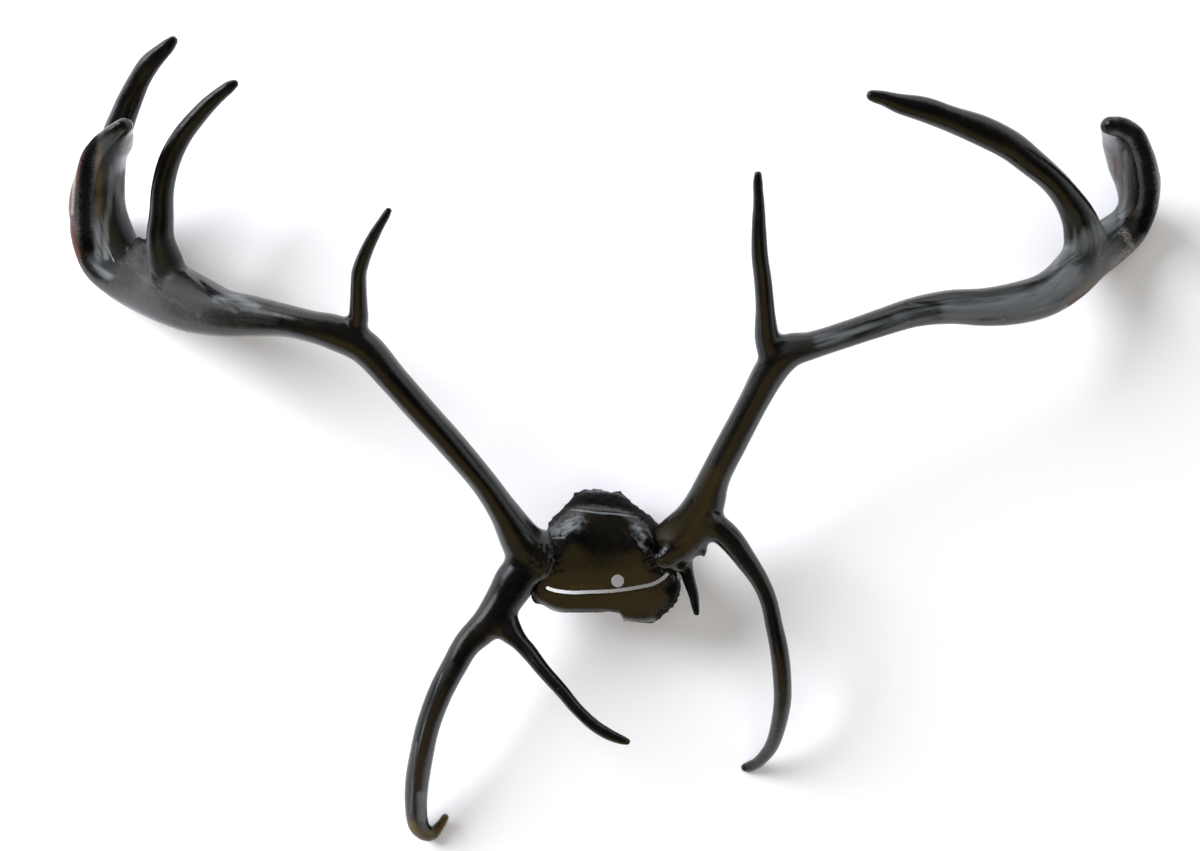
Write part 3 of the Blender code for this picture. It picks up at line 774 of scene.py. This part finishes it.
def roughness_field(x, y, seed, size):
    """Broken bone: a sum of sine waves in turned directions, folded at zero into chips."""
    rng = np.random.default_rng(seed)
    total = 0.0
    for step in range(7):
        angle, phase = rng.uniform(0, math.pi), rng.uniform(0, 6)
        pace = 2 * math.pi / (size * (0.45 + 0.25 * step))
        total = total + np.abs(np.sin((x * math.cos(angle) + y * math.sin(angle)) * pace + phase))
    return total / 7 - 0.5


def skull_height(x, y, share):
    """Height of the forehead: a dome with a bulge before each antler, steep at its edge,
    a drop of rough bone behind the ridge."""
    fall = np.where(y < FOREHEAD_CREST_Y, FRONT_FALL, BACK_FALL)
    dome = FOREHEAD_HEIGHT - fall * (y - FOREHEAD_CREST_Y) ** 2
    for bx, by in BULGES:
        dome = dome + BROW_BULGE * np.exp(-((x - bx) ** 2 + (y - by) ** 2) / BULGE_WIDTH**2)
    power = EDGE_POWER + FRONT_POWER * np.clip((STEEP_FROM_Y - y) / STEEP_OVER, 0, 1)
    height = EDGE_HEIGHT + (dome - EDGE_HEIGHT) * np.sqrt(np.clip(1 - share**power, 0, 1))
    ridge = np.array(BROKEN_RIDGE)
    past = y - np.interp(x, ridge[:, 0], ridge[:, 1])
    behind = np.clip(past / RIDGE_SLOPE, 0, 1)
    chips = BROKEN_ROUGH * roughness_field(x, y, 5, CHIP_SIZE)
    lip = RIDGE_LIP * bump(past, LIP_AT, LIP_WIDTH)
    lumpy = (LUMPY_REACH - np.hypot(x - LUMPY_AT[0], y - LUMPY_AT[1])) / LUMPY_FADE
    uneven = SMOOTH_BONE + LUMPY_BONE * np.clip(lumpy, 0, 1)
    phase = (RIPPLE_WAY[0] * x + RIPPLE_WAY[1] * y) * 2 * math.pi / RIPPLE_LENGTH
    wave = np.sin(phase + RIPPLE_WANDER * np.sin(x / 5 + y / 9))
    at_bulge = sum(np.exp(-((x - bx) ** 2 + (y - by) ** 2) / RIPPLE_SPREAD) for bx, by in RIPPLES)
    return (height + lip + behind * (chips - BROKEN_DROP)
            + uneven * roughness_field(x, y, 8, LUMP_SIZE) + RIPPLE_DEPTH * at_bulge * wave)


crest = skull_height(np.array([SKULL_MIDDLE[0]]), np.array([FOREHEAD_CREST_Y]), 0.0)[0]
print("crest of the forehead: %.0f mm above the floor" % crest)

# %% [markdown]
# ## From outline to bowl
# Rings run from the middle of the forehead out to its edge, down the wall, across the flat
# sawn rim and back up inside. The edge is jagged where the bone was broken.

# %% Build the bowl
STEP_AT = (22.0, -192.0)
STEP_KEPT = 7.0
OUTLINE_SPACING = 1.6
CORNER_ROUNDS = 2
EVEN_ROUNDS = 60
TOP_RINGS, TOP_SPREAD = 60, 1.6
WALL_RINGS = 12
RIM_SHARES = (0.33, 0.66, 1.0)
CAVITY_SHARES = np.linspace(0.97, 0.06, 22)
BROKEN_BEHIND, BROKEN_RIGHT, BROKEN_FADE = -104, 58, 8
SAWN_JAG, BROKEN_JAG = 0.6, 6.0


def skull_bowl():
    """Rings at shares of the way from the middle to the outline, over the top, down the
    wall, across the rim and up inside."""
    corners = np.array(SKULL_OUTLINE, float)[::-1]
    ahead = np.roll(corners, -1, axis=0)
    count = np.maximum(1, np.round(np.linalg.norm(ahead - corners, axis=1) / OUTLINE_SPACING))
    parts = np.repeat(np.arange(len(corners)), count.astype(int))
    first = np.concatenate([[0], np.cumsum(count)[:-1]])[parts]
    share = ((np.arange(len(parts)) - first) / count[parts])[:, None]
    outline = corners[parts] * (1 - share) + ahead[parts] * share
    sharp_step = (np.hypot(*(outline - STEP_AT).T) < STEP_KEPT)[:, None]
    for _ in range(CORNER_ROUNDS):
        beside = (np.roll(outline, 1, axis=0) + np.roll(outline, -1, axis=0)) / 2
        outline = np.where(sharp_step, outline, (outline + beside) / 2)
    spokes = outline - SKULL_MIDDLE
    length = np.linalg.norm(spokes, axis=1)
    even = length
    for _ in range(EVEN_ROUNDS):
        even = (np.roll(even, 1) + even * 2 + np.roll(even, -1)) / 4
    inner = 1 - RIM_WIDTH / length
    shares = 1 - np.linspace(1, 0, TOP_RINGS)[1:] ** TOP_SPREAD
    x, y = outline.T
    broken = (np.clip((y - BROKEN_BEHIND) / BROKEN_FADE, 0, 1)
              + np.clip((x - BROKEN_RIGHT) / BROKEN_FADE, 0, 1)).clip(0, 1)
    jag = (SAWN_JAG + BROKEN_JAG * broken) * roughness_field(x, y, 3, JAG_SIZE)

    def level(share, height):
        x = SKULL_MIDDLE[0] + spokes[:, 0] * share
        y = SKULL_MIDDLE[1] + spokes[:, 1] * share
        if not callable(height):
            return placed(x, y, np.full_like(x, height))
        return placed(x, y, height(x, y, share * length / even))

    edge = 1 + jag / length
    rings = [level(s * (1 + (edge - 1) * s**6), skull_height) for s in shares]
    rings += [level(edge, z) for z in np.linspace(EDGE_HEIGHT, SAW_PLANE, WALL_RINGS)[1:]]
    rings += [level(edge + (inner - edge) * s, SAW_PLANE) for s in RIM_SHARES]
    inside = lambda x, y, s: skull_height(x, y, s) - BONE_WALL
    rings += [level(inner * s, inside) for s in CAVITY_SHARES]
    centre = np.array([SKULL_MIDDLE[0]]), np.array([SKULL_MIDDLE[1]])
    top = skull_height(*centre, 0.0)
    poles = [placed(*centre, top)[0], placed(*centre, top - BONE_WALL)[0]]
    return closed_grid(np.array(rings), poles)


bowl = skull_bowl()
print("points of the bowl:", len(bowl[0]))

# %% [markdown]
# ## The stubs, the slit and the hole
# The bowl and a stub of bone for each antler are melted into one. A slab and a bar then cut
# the saw slit and the round hole, and one more melt softens the cut edges.

# %% Cut the cap and finish it
SKULL_VOXEL = 1.0
SKULL_GRAIN = 0.6
HOLE_SIDES = 40


def slit_shape():
    """A thin upright slab along the saw cut: a box section carried along its line."""
    path = read_rows(SLIT, np.linspace(0, len(SLIT) - 1, SLIT_STEPS))
    along = np.gradient(path, axis=0)
    along /= np.linalg.norm(along, axis=1)[:, None]
    side = np.stack([-along[:, 1], along[:, 0]], axis=1) * SLIT_WIDTH / 2
    corner = [placed(*(path + s * side).T, np.full(len(path), z))
              for s, z in ((1, CUT_FROM), (1, CUT_TO), (-1, CUT_TO), (-1, CUT_FROM))]
    rings = np.stack(corner, axis=1)
    return closed_grid(rings, [rings[0].mean(axis=0), rings[-1].mean(axis=0)])


def hole_shape():
    """A round bar along the sight line through the hole."""
    turn = np.linspace(0, 2 * math.pi, HOLE_SIDES, endpoint=False)
    rings = []
    for z in (CUT_FROM, CUT_TO):
        radius = HOLE_DIAMETER / 2 / seen_scale(z)
        rings.append(placed(HOLE_AT[0] + radius * np.cos(turn), HOLE_AT[1] + radius * np.sin(turn),
                            np.full(len(turn), z)))
    rings = np.array(rings)
    return closed_grid(rings, [rings[0].mean(axis=0), rings[1].mean(axis=0)])


def stub(rows, seed):
    """The pedicle: bone of the skull that stands up into the burr."""
    return lofted(rows[:2], TINE_SIDES, tine_relief(seed), spacing=1.5)


def melted_with_cuts(thing, cutters):
    """First melts the bowl and its stubs into one, then cuts, then melts the cut edges."""
    whole = linked("cap", melted(thing, SKULL_VOXEL))
    for cutter in cutters:
        cut = whole.modifiers.new("cut", "BOOLEAN")
        cut.operation = "DIFFERENCE"
        cut.solver = "EXACT"
        cut.object = cutter
    mesh = melted(whole, SKULL_VOXEL)
    for cutter in cutters:
        bpy.data.objects.remove(cutter, do_unlink=True)
    points = read_points(mesh)
    even = np.ones(len(points))
    write_points(mesh, relaxed(points, read_edges(mesh), even, STEP_ROUNDS, STEPS_OFF))
    return mesh


shapes = [bowl, stub(LEFT_BEAM, 71), stub(RIGHT_BEAM, 75)]
cutters = [mesh_object("slit", *slit_shape()), mesh_object("hole", *hole_shape())]
skull_mesh = melted_with_cuts(mesh_object("skull_cap", *joined(shapes)), cutters)
skull_points, skull_plan = read_points(skull_mesh), seen_plan(read_points(skull_mesh))
burr = sum(np.exp(-(np.hypot(*(skull_plan - middle).T) / CRUST_REACH) ** 4)
           for middle in BURRS.values())
rough = CRUST_DEPTH * burr * crust(skull_points, 19, SKULL_CRUST)
skull_points = skull_points + read_normals(skull_mesh) * rough[:, None]
write_points(skull_mesh, skull_points)
skull_normals = read_normals(skull_mesh)
store(skull_mesh, "grain", skull_points * SKULL_GRAIN)
skull_mesh.shade_smooth()
skull = linked("skull_cap", skull_mesh)
skins.append((skull, skull_plan, skull_normals))
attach(skull, "root")
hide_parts("skull_plate")
print("skull cap points:", len(skull_points), "faces:", len(skull_mesh.polygons))

# %% [markdown]
# ## Where the lacquer is dull, thin or gone, and where light and shade are painted
# The wide webs of both palms and the right beam look matt and grey. Grey marks on the left
# beam, the left palm's ridge, the left bez, the right burr's lip, the forehead ridge and the
# two swellings of the forehead are painted highlights and sheen. Olive brown and straw
# yellow on faces that look down are a painted warm reflection of light from below; only on
# the plate of the right beam is it thin lacquer over flat bone. Rubbed rims of the cap and
# the right palm show reddish bare bone, and the reddish, pale outer rim of the left palm is
# a painted rim highlight. A few pale chips are nicks, and other pale dots are painted glints.
# Black marks with almost no gloss are painted shade. The painted sheen and part of the dull
# marks stand in for light that a real room puts there. Each mark is a line on the plan with
# a half width and a strength.

# %% Give the marks and store them on the skins
# Matt grey on the webs and palms and on the right beam. The rest are painted highlights and sheen:
# the pale patch on the left beam, the ridge of the left palm, the grey patch and streaks on the
# left bez, the lip of the right burr's pit, the forehead ridge and the two swellings of the
# forehead.
DULL_AND_SHEEN = {
    "left_antler": [
        ([(-385, 127), (-364, 128), (-343, 119)], 6, 0.5),
        ([(-502, 206), (-503, 182), (-502, 160), (-492, 148)], 6.5, 0.5),
        ([(-488, 258), (-490, 226), (-494, 200), (-494, 168)], 4, 0.8),
        ([(-178, -370), (-177, -392)], 6, 0.95),
        ([(-158, -248), (-174, -290), (-184, -330)], 1.5, 0.5),
        ([(-183, -318), (-188, -350), (-189, -388)], 2.0, 0.55),
    ],
    "right_antler": [
        ([(300, 104), (350, 112)], 14, 0.55),
        ([(350, 112), (400, 114), (440, 124), (470, 150)], 15, 0.85),
        ([(350, 120), (395, 122)], 9, 0.55),
        ([(455, 165), (490, 188), (512, 202)], 14, 0.7),
        ([(526, 270), (527, 235), (520, 200)], 6.0, 0.7),
        ([(220, 84), (300, 102)], 10, 0.5),
        ([(52, -132), (66, -123)], 2.2, 0.8),
    ],
    "skull_cap": [
        ([(-30, -84), (-15, -85.5), (0, -87.5), (15, -88.5), (35, -91), (45, -92)], 1.0, 1.0),
        ([(-46, -106), (-22, -95)], 11, 0.5),
        ([(-44, -105), (-26, -97)], 1.8, 0.8),
        ([(-38, -109), (-22, -100)], 1.4, 0.7),
        ([(-52, -113), (-36, -112)], 1.8, 0.7),
        ([(-34, -95), (-20, -91)], 1.4, 0.7),
        ([(37, -103), (46, -120)], 9, 0.48),
        ([(40, -106), (47, -117)], 1.8, 0.7),
        ([(35, -112), (42, -122)], 1.4, 0.6),
        ([(47, -104), (52, -112)], 1.4, 0.7),
    ],
}
# Painted sheen: a rough dark grey that stands in for the grey reflections on the webs, palm bands
# and beams, and along the left bez.
PAINTED_SHEEN = {
    "left_antler": [
        ([(-430, 178), (-430, 150), (-405, 122)], 18, 0.7),
        ([(-472, 196), (-460, 172), (-440, 150), (-410, 128)], 18, 0.7),
        ([(-410, 124), (-330, 106)], 12, 0.55),
        ([(-476, 262), (-478, 215), (-470, 190)], 8, 1.0),
        ([(-497, 284), (-497, 215), (-493, 165)], 13, 1.0),
        ([(-508, 190), (-500, 165), (-475, 150)], 14, 0.9),
        ([(-484, 215), (-484, 165)], 9, 1.0),
        ([(-150, -240), (-177, -300), (-188, -345), (-190, -388)], 6, 0.62),
    ],
    "right_antler": [
        ([(468, 205), (470, 170), (500, 195)], 17, 1.0),
        ([(355, 116), (440, 128), (465, 152), (500, 190), (526, 205)], 18, 1.0),
        ([(526, 275), (527, 235), (520, 200)], 7.5, 1.0),
        ([(190, 78), (320, 108)], 12, 0.7),
    ],
    "skull_cap": [],
}
# Olive brown on faces that look down, on the left beam, the right palm, web and crown tine and the
# lower forehead and strip of the cap, is a painted warm reflection of light from below. On the
# plate of the right beam it is thin lacquer over flat bone.
OLIVE = {
    "left_antler": [([(-345, 100), (-400, 108), (-450, 130), (-480, 148)], 6, 0.45)],
    "right_antler": [([(62, -112), (84, -100), (104, -78), (112, -50)], 13, 0.9),
                     ([(88, -118), (108, -100)], 11, 0.9),
                     ([(529, 268), (531, 235), (527, 205)], 5, 0.6),
                     ([(470, 128), (492, 148)], 8, 0.8),
                     ([(405, 250), (440, 228), (463, 202)], 4, 0.6)],
    "skull_cap": [([(-45, -157), (0, -155), (40, -152)], 13, 0.9),
                  ([(-50, -176), (0, -178), (60, -176)], 14, 0.9)],
}
# Straw yellow is a painted warm reflection of light from below: on the hook of the left bez, a
# band of the left palm, the left brow, a streak of the right crown tine and web, and the lower
# forehead of the cap.
STRAW = {
    "left_antler": [([(-502, 282), (-502, 245), (-502, 212)], 5, 0.75),
                    ([(-188, -400), (-175, -413), (-158, -404), (-152, -390)], 6.5, 0.86),
                    ([(-112, -212), (-96, -215)], 5, 0.5), ([(27, -317), (31, -317)], 2.5, 0.5)],
    "right_antler": [([(405, 246), (432, 230), (452, 208)], 3, 0.6),
                     ([(470, 126), (494, 146)], 5, 0.6)],
    "skull_cap": [([(-30, -162), (0, -161)], 5, 0.35)],
}
# Reddish bare bone on rubbed rims of the cap and the right palm. Along the outer rim of the left
# palm the reddish colour is a painted rim highlight.
BARE_AND_RIM_LIGHT = {
    "left_antler": [([(-516, 282), (-522, 262), (-527, 230), (-527, 195), (-522, 165)], 4.0, 1.0)],
    "right_antler": [([(515, 268), (515, 240), (517, 225)], 3.0, 1.0),
                     ([(538, 175), (515, 155), (492, 135), (470, 121)], 3.2, 0.9)],
    "skull_cap": [([(-30, -77), (-28, -79)], 2.5, 1.0), ([(8, -66), (14, -67)], 2.5, 0.9),
                  ([(-60, -176), (-56, -182)], 5, 0.5)],
}
# Pale chips: two nicks on the right beam and worn patches on the right palm and web. The rest are
# painted highlights and glints: the outer rim and a thin streak on the left palm, a glint at the
# left burr and one beside the forehead ridge.
PALE = {
    "left_antler": [([(-525, 262), (-528, 212)], 2.4, 0.7), ([(-494, 180), (-486, 164)], 0.8, 0.8),
                    ([(-45, -129), (-40, -135)], 1.2, 0.6)],
    "right_antler": [([(524, 192), (533, 178), (512, 160)], 7, 0.5),
                     ([(403, 106), (404, 105)], 1.0, 0.9), ([(306, 103), (309, 104)], 1.0, 0.6),
                     ([(513, 262), (514, 232)], 1.6, 0.6)],
    "skull_cap": [([(-46, -89), (-42, -90)], 1.6, 0.9)],
}
# Painted shade: black with almost no gloss, where shade falls or a dark room is mirrored, on the
# bands of both palms, the pits at the burrs, the broken band behind the forehead ridge and the
# edges of the cap.
PAINTED_SHADE = {
    "left_antler": [([(-508, 286), (-513, 264), (-515, 232), (-515, 202), (-512, 178)], 8.5, 0.9),
                    ([(-46, -118), (-40, -135), (-44, -152)], 6, 0.6)],
    "right_antler": [([(520, 300), (537, 292), (547, 265), (550, 235), (548, 212), (543, 198)],
                      8.5, 0.9),
                     ([(47, -117), (57, -125)], 6, 1.0)],
    "skull_cap": [([(-60, -104), (-48, -91), (-36, -79), (-20, -73), (-2, -73), (15, -74),
                    (30, -80), (48, -91), (60, -106)], 8.5, 1.0),
                  ([(47, -117), (57, -125)], 5, 1.0),
                  ([(70, -165), (78, -160), (72, -182), (60, -192)], 7, 0.9),
                  ([(-67, -157), (-67, -170), (-63, -179), (-52, -186)], 4, 1.0),
                  ([(-48, -188), (14, -188), (21, -198), (54, -199)], 2.5, 1.0)],
}
MARKS = {"painted_sheen": PAINTED_SHEEN, "dull_and_sheen": DULL_AND_SHEEN, "olive": OLIVE, "straw": STRAW, "bare_and_rim_light": BARE_AND_RIM_LIGHT,
         "pale": PALE, "painted_shade": PAINTED_SHADE}
MARK_FADE, MARK_WRAP = 3, 0.6


def painted(plan, normals, marks):
    """Strength times a bell of the distance to each line, the strongest of them, and none
    on the underside."""
    weight = np.zeros(len(plan))
    for stops, half_width, strength in marks:
        weight = np.maximum(weight, strength * bump(line_distance(plan, stops), 0, half_width))
    return weight * np.clip(normals[:, 2] * MARK_FADE + MARK_WRAP, 0, 1)


for thing, plan, normals in skins:
    for mark, table in MARKS.items():
        weight = painted(plan, normals, table[thing.name])
        store(thing.data, mark, weight)
        print(thing.name, mark, "mean weight: %.3f" % weight.mean())

# %% [markdown]
# ## Paint as numbers
# Colours are written as they look on a screen (sRGB hex), and Blender wants them linear.
# One function turns them, one adds a node with its settings and links, and two more add the
# kinds of node that are needed most.

# %% Make helpers for colours and nodes
def linear(hex_colour):
    """Each channel: over 12.92 when dark, else ((c + 0.055) / 1.055) to the power 2.4."""
    channels = [int(hex_colour[i:i + 2], 16) / 255 for i in (1, 3, 5)]
    return [c / 12.92 if c <= 0.04045 else ((c + 0.055) / 1.055) ** 2.4 for c in channels] + [1.0]


def add(tree, kind, inputs=None, **settings):
    """A node of a kind. Settings are its own properties. Inputs are typed in or linked."""
    node = tree.nodes.new("ShaderNode" + kind)
    for key, value in settings.items():
        setattr(node, key, value)
    for key, value in (inputs or {}).items():
        if isinstance(value, bpy.types.NodeSocket):
            tree.links.new(value, node.inputs[key])
        else:
            node.inputs[key].default_value = value
    return node


def ramp(tree, value, low, high, first=0.0, last=1.0, **settings):
    """A value between low and high, turned into one between first and last."""
    inputs = {"Value": value, "From Min": low, "From Max": high, "To Min": first, "To Max": last}
    return add(tree, "MapRange", inputs, **settings).outputs["Result"]


def mixed(tree, share, a, b, kind="RGBA"):
    """The first of two colours or numbers where share is 0, and the second where it is 1."""
    return add(tree, "Mix", {"Factor": share, "A": a, "B": b}, data_type=kind).outputs["Result"]


print("black lacquer, linear:", [round(c, 4) for c in linear("#070708")[:3]])

# %% [markdown]
# ## Black gloss lacquer on bone
# The paint is thin brushed lacquer. The eye gets a very dark colour, sharp grey streaks
# where a pane is mirrored, and in them the flutes and pores of the bone underneath. Each
# kind of mark, wear as well as painted light and shade, mixes in its own colour, roughness
# and share of mirrored light.

# %% Mix the lacquer
FLUTE_SIZE, FLUTE_BUMP = 0.004, (0.3, 0.0005)
PORE_SIZE, PORE_BUMP = 0.0016, (0.25, 0.0002)
BRUSH_SIZE, BRUSH_BUMP = 0.006, (0.25, 0.0007)
CLOUD_SIZE = 0.05
THIN_FROM, THIN_TO = 0.42, 0.68
BRUSH_RANGE, GLOSS_SHARES = (0.3, 0.7), (0.7, 1.4)
UNEVEN_EDGE = 1.1
MARK_FROM, MARK_TO = 0.22, 0.8
GLOSS_SHINE = 0.5
# Colour, roughness and share of mirrored light of each mark. Some are real wear and matt paint;
# the sheen, the shade and parts of the dull, pale, bare, olive and straw marks are painted light
# and shade.
MARK_LOOKS = {
    "painted_sheen": ("#1c1e1c", 0.42, 0.34),
    "dull_and_sheen": ("#5b6062", 0.5, 0.5),
    "olive": ("#1d180b", 0.32, 0.5),
    "straw": ("#4e4018", 0.4, 0.4),
    "bare_and_rim_light": ("#4a2d27", 0.5, 0.3),
    "pale": ("#96908a", 0.6, 0.3),
    "painted_shade": ("#060606", 0.7, 0.05),
}


def noise(tree, place, size, detail):
    inputs = {"Vector": place, "Scale": 1 / size, "Detail": detail}
    return add(tree, "TexNoise", inputs).outputs["Fac"]


def lacquer(name, black, thin, roughness):
    """Black with thinner clouds, then the marks of wear and of painted light and shade: each
    one's weight, made uneven by the grain, and a smooth step between the two mark limits set
    above. Flutes, brush strokes and pores are bumps."""
    material = bpy.data.materials.new(name)
    material.use_nodes = True
    tree = material.node_tree
    shader = tree.nodes["Principled BSDF"]
    place = add(tree, "TexCoord").outputs["Object"]
    grain = add(tree, "Attribute", attribute_name="grain").outputs["Vector"]
    flutes = noise(tree, grain, FLUTE_SIZE, 3.0)
    pores = noise(tree, place, PORE_SIZE, 2.0)
    brush = noise(tree, place, BRUSH_SIZE, 3.0)
    cover = ramp(tree, noise(tree, place, CLOUD_SIZE, 4.0), THIN_FROM, THIN_TO)
    colour = mixed(tree, cover, linear(black), linear(thin))
    gloss = ramp(tree, brush, *BRUSH_RANGE, *(roughness * share for share in GLOSS_SHARES))
    shine = GLOSS_SHINE
    # Mix in each mark: worn and matt paint, and painted highlights, sheen, warm reflection and
    # shade.
    for mark, (mark_colour, mark_roughness, mark_shine) in MARK_LOOKS.items():
        weight = add(tree, "Attribute", attribute_name=mark).outputs["Fac"]
        uneven = flutes if mark in ("dull_and_sheen", "painted_sheen") else pores
        edge = add(tree, "Math", {0: uneven, 1: 0.5}, operation="SUBTRACT")
        edge = add(tree, "Math", {0: edge.outputs["Value"], 1: UNEVEN_EDGE, 2: weight},
                   operation="MULTIPLY_ADD")
        share = ramp(tree, edge.outputs["Value"], MARK_FROM, MARK_TO,
                     interpolation_type="SMOOTHSTEP")
        colour = mixed(tree, share, colour, linear(mark_colour))
        gloss = mixed(tree, share, gloss, mark_roughness, "FLOAT")
        shine = mixed(tree, share, shine, mark_shine, "FLOAT")
    below = {}
    for height, (strength, distance) in ((flutes, FLUTE_BUMP), (brush, BRUSH_BUMP),
                                         (pores, PORE_BUMP)):
        bumps = add(tree, "Bump", {"Height": height, "Strength": strength,
                                   "Distance": distance, **below})
        below = {"Normal": bumps.outputs["Normal"]}
    for socket, value in (("Base Color", colour), ("Specular IOR Level", shine),
                          ("Roughness", gloss), ("Normal", below["Normal"])):
        tree.links.new(value, shader.inputs[socket])
    shader.inputs["IOR"].default_value = 1.5
    return material


antler_lacquer = lacquer("black_lacquer_on_antler", "#070708", "#110f0a", 0.20)
skull_lacquer = lacquer("black_lacquer_on_skull_bone", "#060607", "#100e08", 0.22)
for (thing, _, _), material in zip(skins, (antler_lacquer, antler_lacquer, skull_lacquer)):
    thing.data.materials.append(material)
print("materials:", [m.name for m in (antler_lacquer, skull_lacquer)])

# %% [markdown]
# ## Floor and light
# A pale floor, the light of one large window, up and to the left, and a weak light from
# the ceiling. The gloss doesn't mirror either lamp: it mirrors the room painted after this.

# %% Lay the floor
def floor_plane(size):
    half = size / 2
    mesh = bpy.data.meshes.new("floor")
    mesh.from_pydata([(-half, -half, 0), (half, -half, 0), (half, half, 0), (-half, half, 0)],
                     [], [(0, 1, 2, 3)])
    matt = bpy.data.materials.new("pale_floor")
    matt.use_nodes = True
    shader = matt.node_tree.nodes["Principled BSDF"]
    shader.inputs["Base Color"].default_value = linear("#f6f6f8")
    shader.inputs["Roughness"].default_value = 0.9
    shader.inputs["Specular IOR Level"].default_value = 0.0
    mesh.materials.append(matt)
    linked("floor", mesh)


floor_plane(12.0)

# %% Hang the lights
def window_light(name, place, aim, size, power, colour):
    """A soft rectangle of light that looks at a point."""
    data = bpy.data.lights.new(name, "AREA")
    data.shape = "RECTANGLE"
    data.size, data.size_y = size
    data.energy = power
    data.color = linear(colour)[:3]
    light = linked(name, data)
    light.location = place
    way = np.array(aim, float) - np.array(place, float)
    flat = math.hypot(way[0], way[1])
    light.rotation_euler = (math.atan2(flat, -way[2]), 0, math.atan2(way[1], way[0]) - math.pi / 2)
    return light


window = window_light("window", (-3.0, 2.0, 2.1), (0, 0, 0.1), (2.6, 2.6), 300, "#f8f9ff")
ceiling = window_light("ceiling", (0, 0, 2.6), (0, 0, 0), (3.0, 3.0), 30, "#ffffff")
window.visible_glossy = ceiling.visible_glossy = False

# %% [markdown]
# ## The room that the gloss mirrors
# Lacquer is nearly a black mirror, so the room matters as much as the lamps. Pale walls
# stand low all round, a brown floor lies past the brow tines, and overhead, behind the eye,
# the room is dark. A flat place mirrors that dark, a steep side mirrors the walls, and one
# bright pane, up and to the left, gives the sharpest streaks.

# %% Paint the room
WALL_STRENGTH = 1.7
OVERHEAD = 0.03
SKIRTING, SKIRTING_TOP = (0.75, 0.75, 0.78, 1), (0.02, 0.16)
DARK_LEAN, DARK_RAMP = (-0.10, 0.02, 1.0), (0.25, 0.62)
BROWN_FROM, BROWN_RAMP = (-0.15, -0.82, 0.56), (0.78, 0.96)
BROWN = (0.46, 0.33, 0.13, 1)
PANE_AT, PANE_RAMP = (-0.72, 0.48, 0.50), (0.955, 0.978)
PANE = (4.3, 4.4, 4.7, 1)
ROUND_THE_ROOM = [
    (0.000, (0.14, 0.14, 0.14)),
    (0.110, (0.12, 0.12, 0.12)),
    (0.250, (0.20, 0.18, 0.14)),
    (0.400, (0.16, 0.16, 0.16)),
    (0.500, (0.50, 0.52, 0.54)),
    (0.640, (0.85, 0.88, 0.91)),
    (0.750, (1.00, 1.03, 1.06)),
    (0.880, (1.35, 1.38, 1.44)),
    (0.960, (0.40, 0.41, 0.42)),
    (1.000, (0.14, 0.14, 0.14)),
]


def toward(way, aim):
    """Dot product of the direction looked in and an aim: near 1 when they agree."""
    node = add(tree, "VectorMath", {0: way, 1: tuple(aim)}, operation="DOT_PRODUCT")
    return node.outputs["Value"]


world = bpy.data.worlds.new("room")
bpy.context.scene.world = world
world.use_nodes = True
tree = world.node_tree
tree.nodes.clear()
way = add(tree, "TexCoord").outputs["Generated"]
apart = add(tree, "SeparateXYZ", {"Vector": way})
turn = add(tree, "Math", {0: apart.outputs["Y"], 1: apart.outputs["X"]}, operation="ARCTAN2")
turn = ramp(tree, turn.outputs["Value"], -math.pi, math.pi)
walls = add(tree, "ValToRGB", {"Fac": turn})
stops = walls.color_ramp.elements
stops[0].position, stops[1].position = ROUND_THE_ROOM[0][0], ROUND_THE_ROOM[-1][0]
for position, _ in ROUND_THE_ROOM[1:-1]:
    stops.new(position)
for stop, (_, colour) in zip(stops, ROUND_THE_ROOM):
    stop.color = (*colour, 1)
above_skirting = ramp(tree, apart.outputs["Z"], *SKIRTING_TOP)
seen = mixed(tree, above_skirting, SKIRTING, walls.outputs["Color"])
lean = np.array(DARK_LEAN) / np.linalg.norm(DARK_LEAN)
strength = ramp(tree, toward(way, lean), *DARK_RAMP, WALL_STRENGTH, OVERHEAD,
                interpolation_type="SMOOTHSTEP")
seen = add(tree, "VectorMath", {0: seen, "Scale": strength}, operation="SCALE").outputs["Vector"]
lean = np.array(BROWN_FROM) / np.linalg.norm(BROWN_FROM)
for aim, limits, colour in ((lean, BROWN_RAMP, BROWN), (PANE_AT, PANE_RAMP, PANE)):
    share = ramp(tree, toward(way, aim), *limits, interpolation_type="SMOOTHSTEP")
    seen = mixed(tree, share, seen, colour)
sky = add(tree, "Background", {"Color": seen, "Strength": 1.0})
add(tree, "OutputWorld", {"Surface": sky.outputs["Background"]})
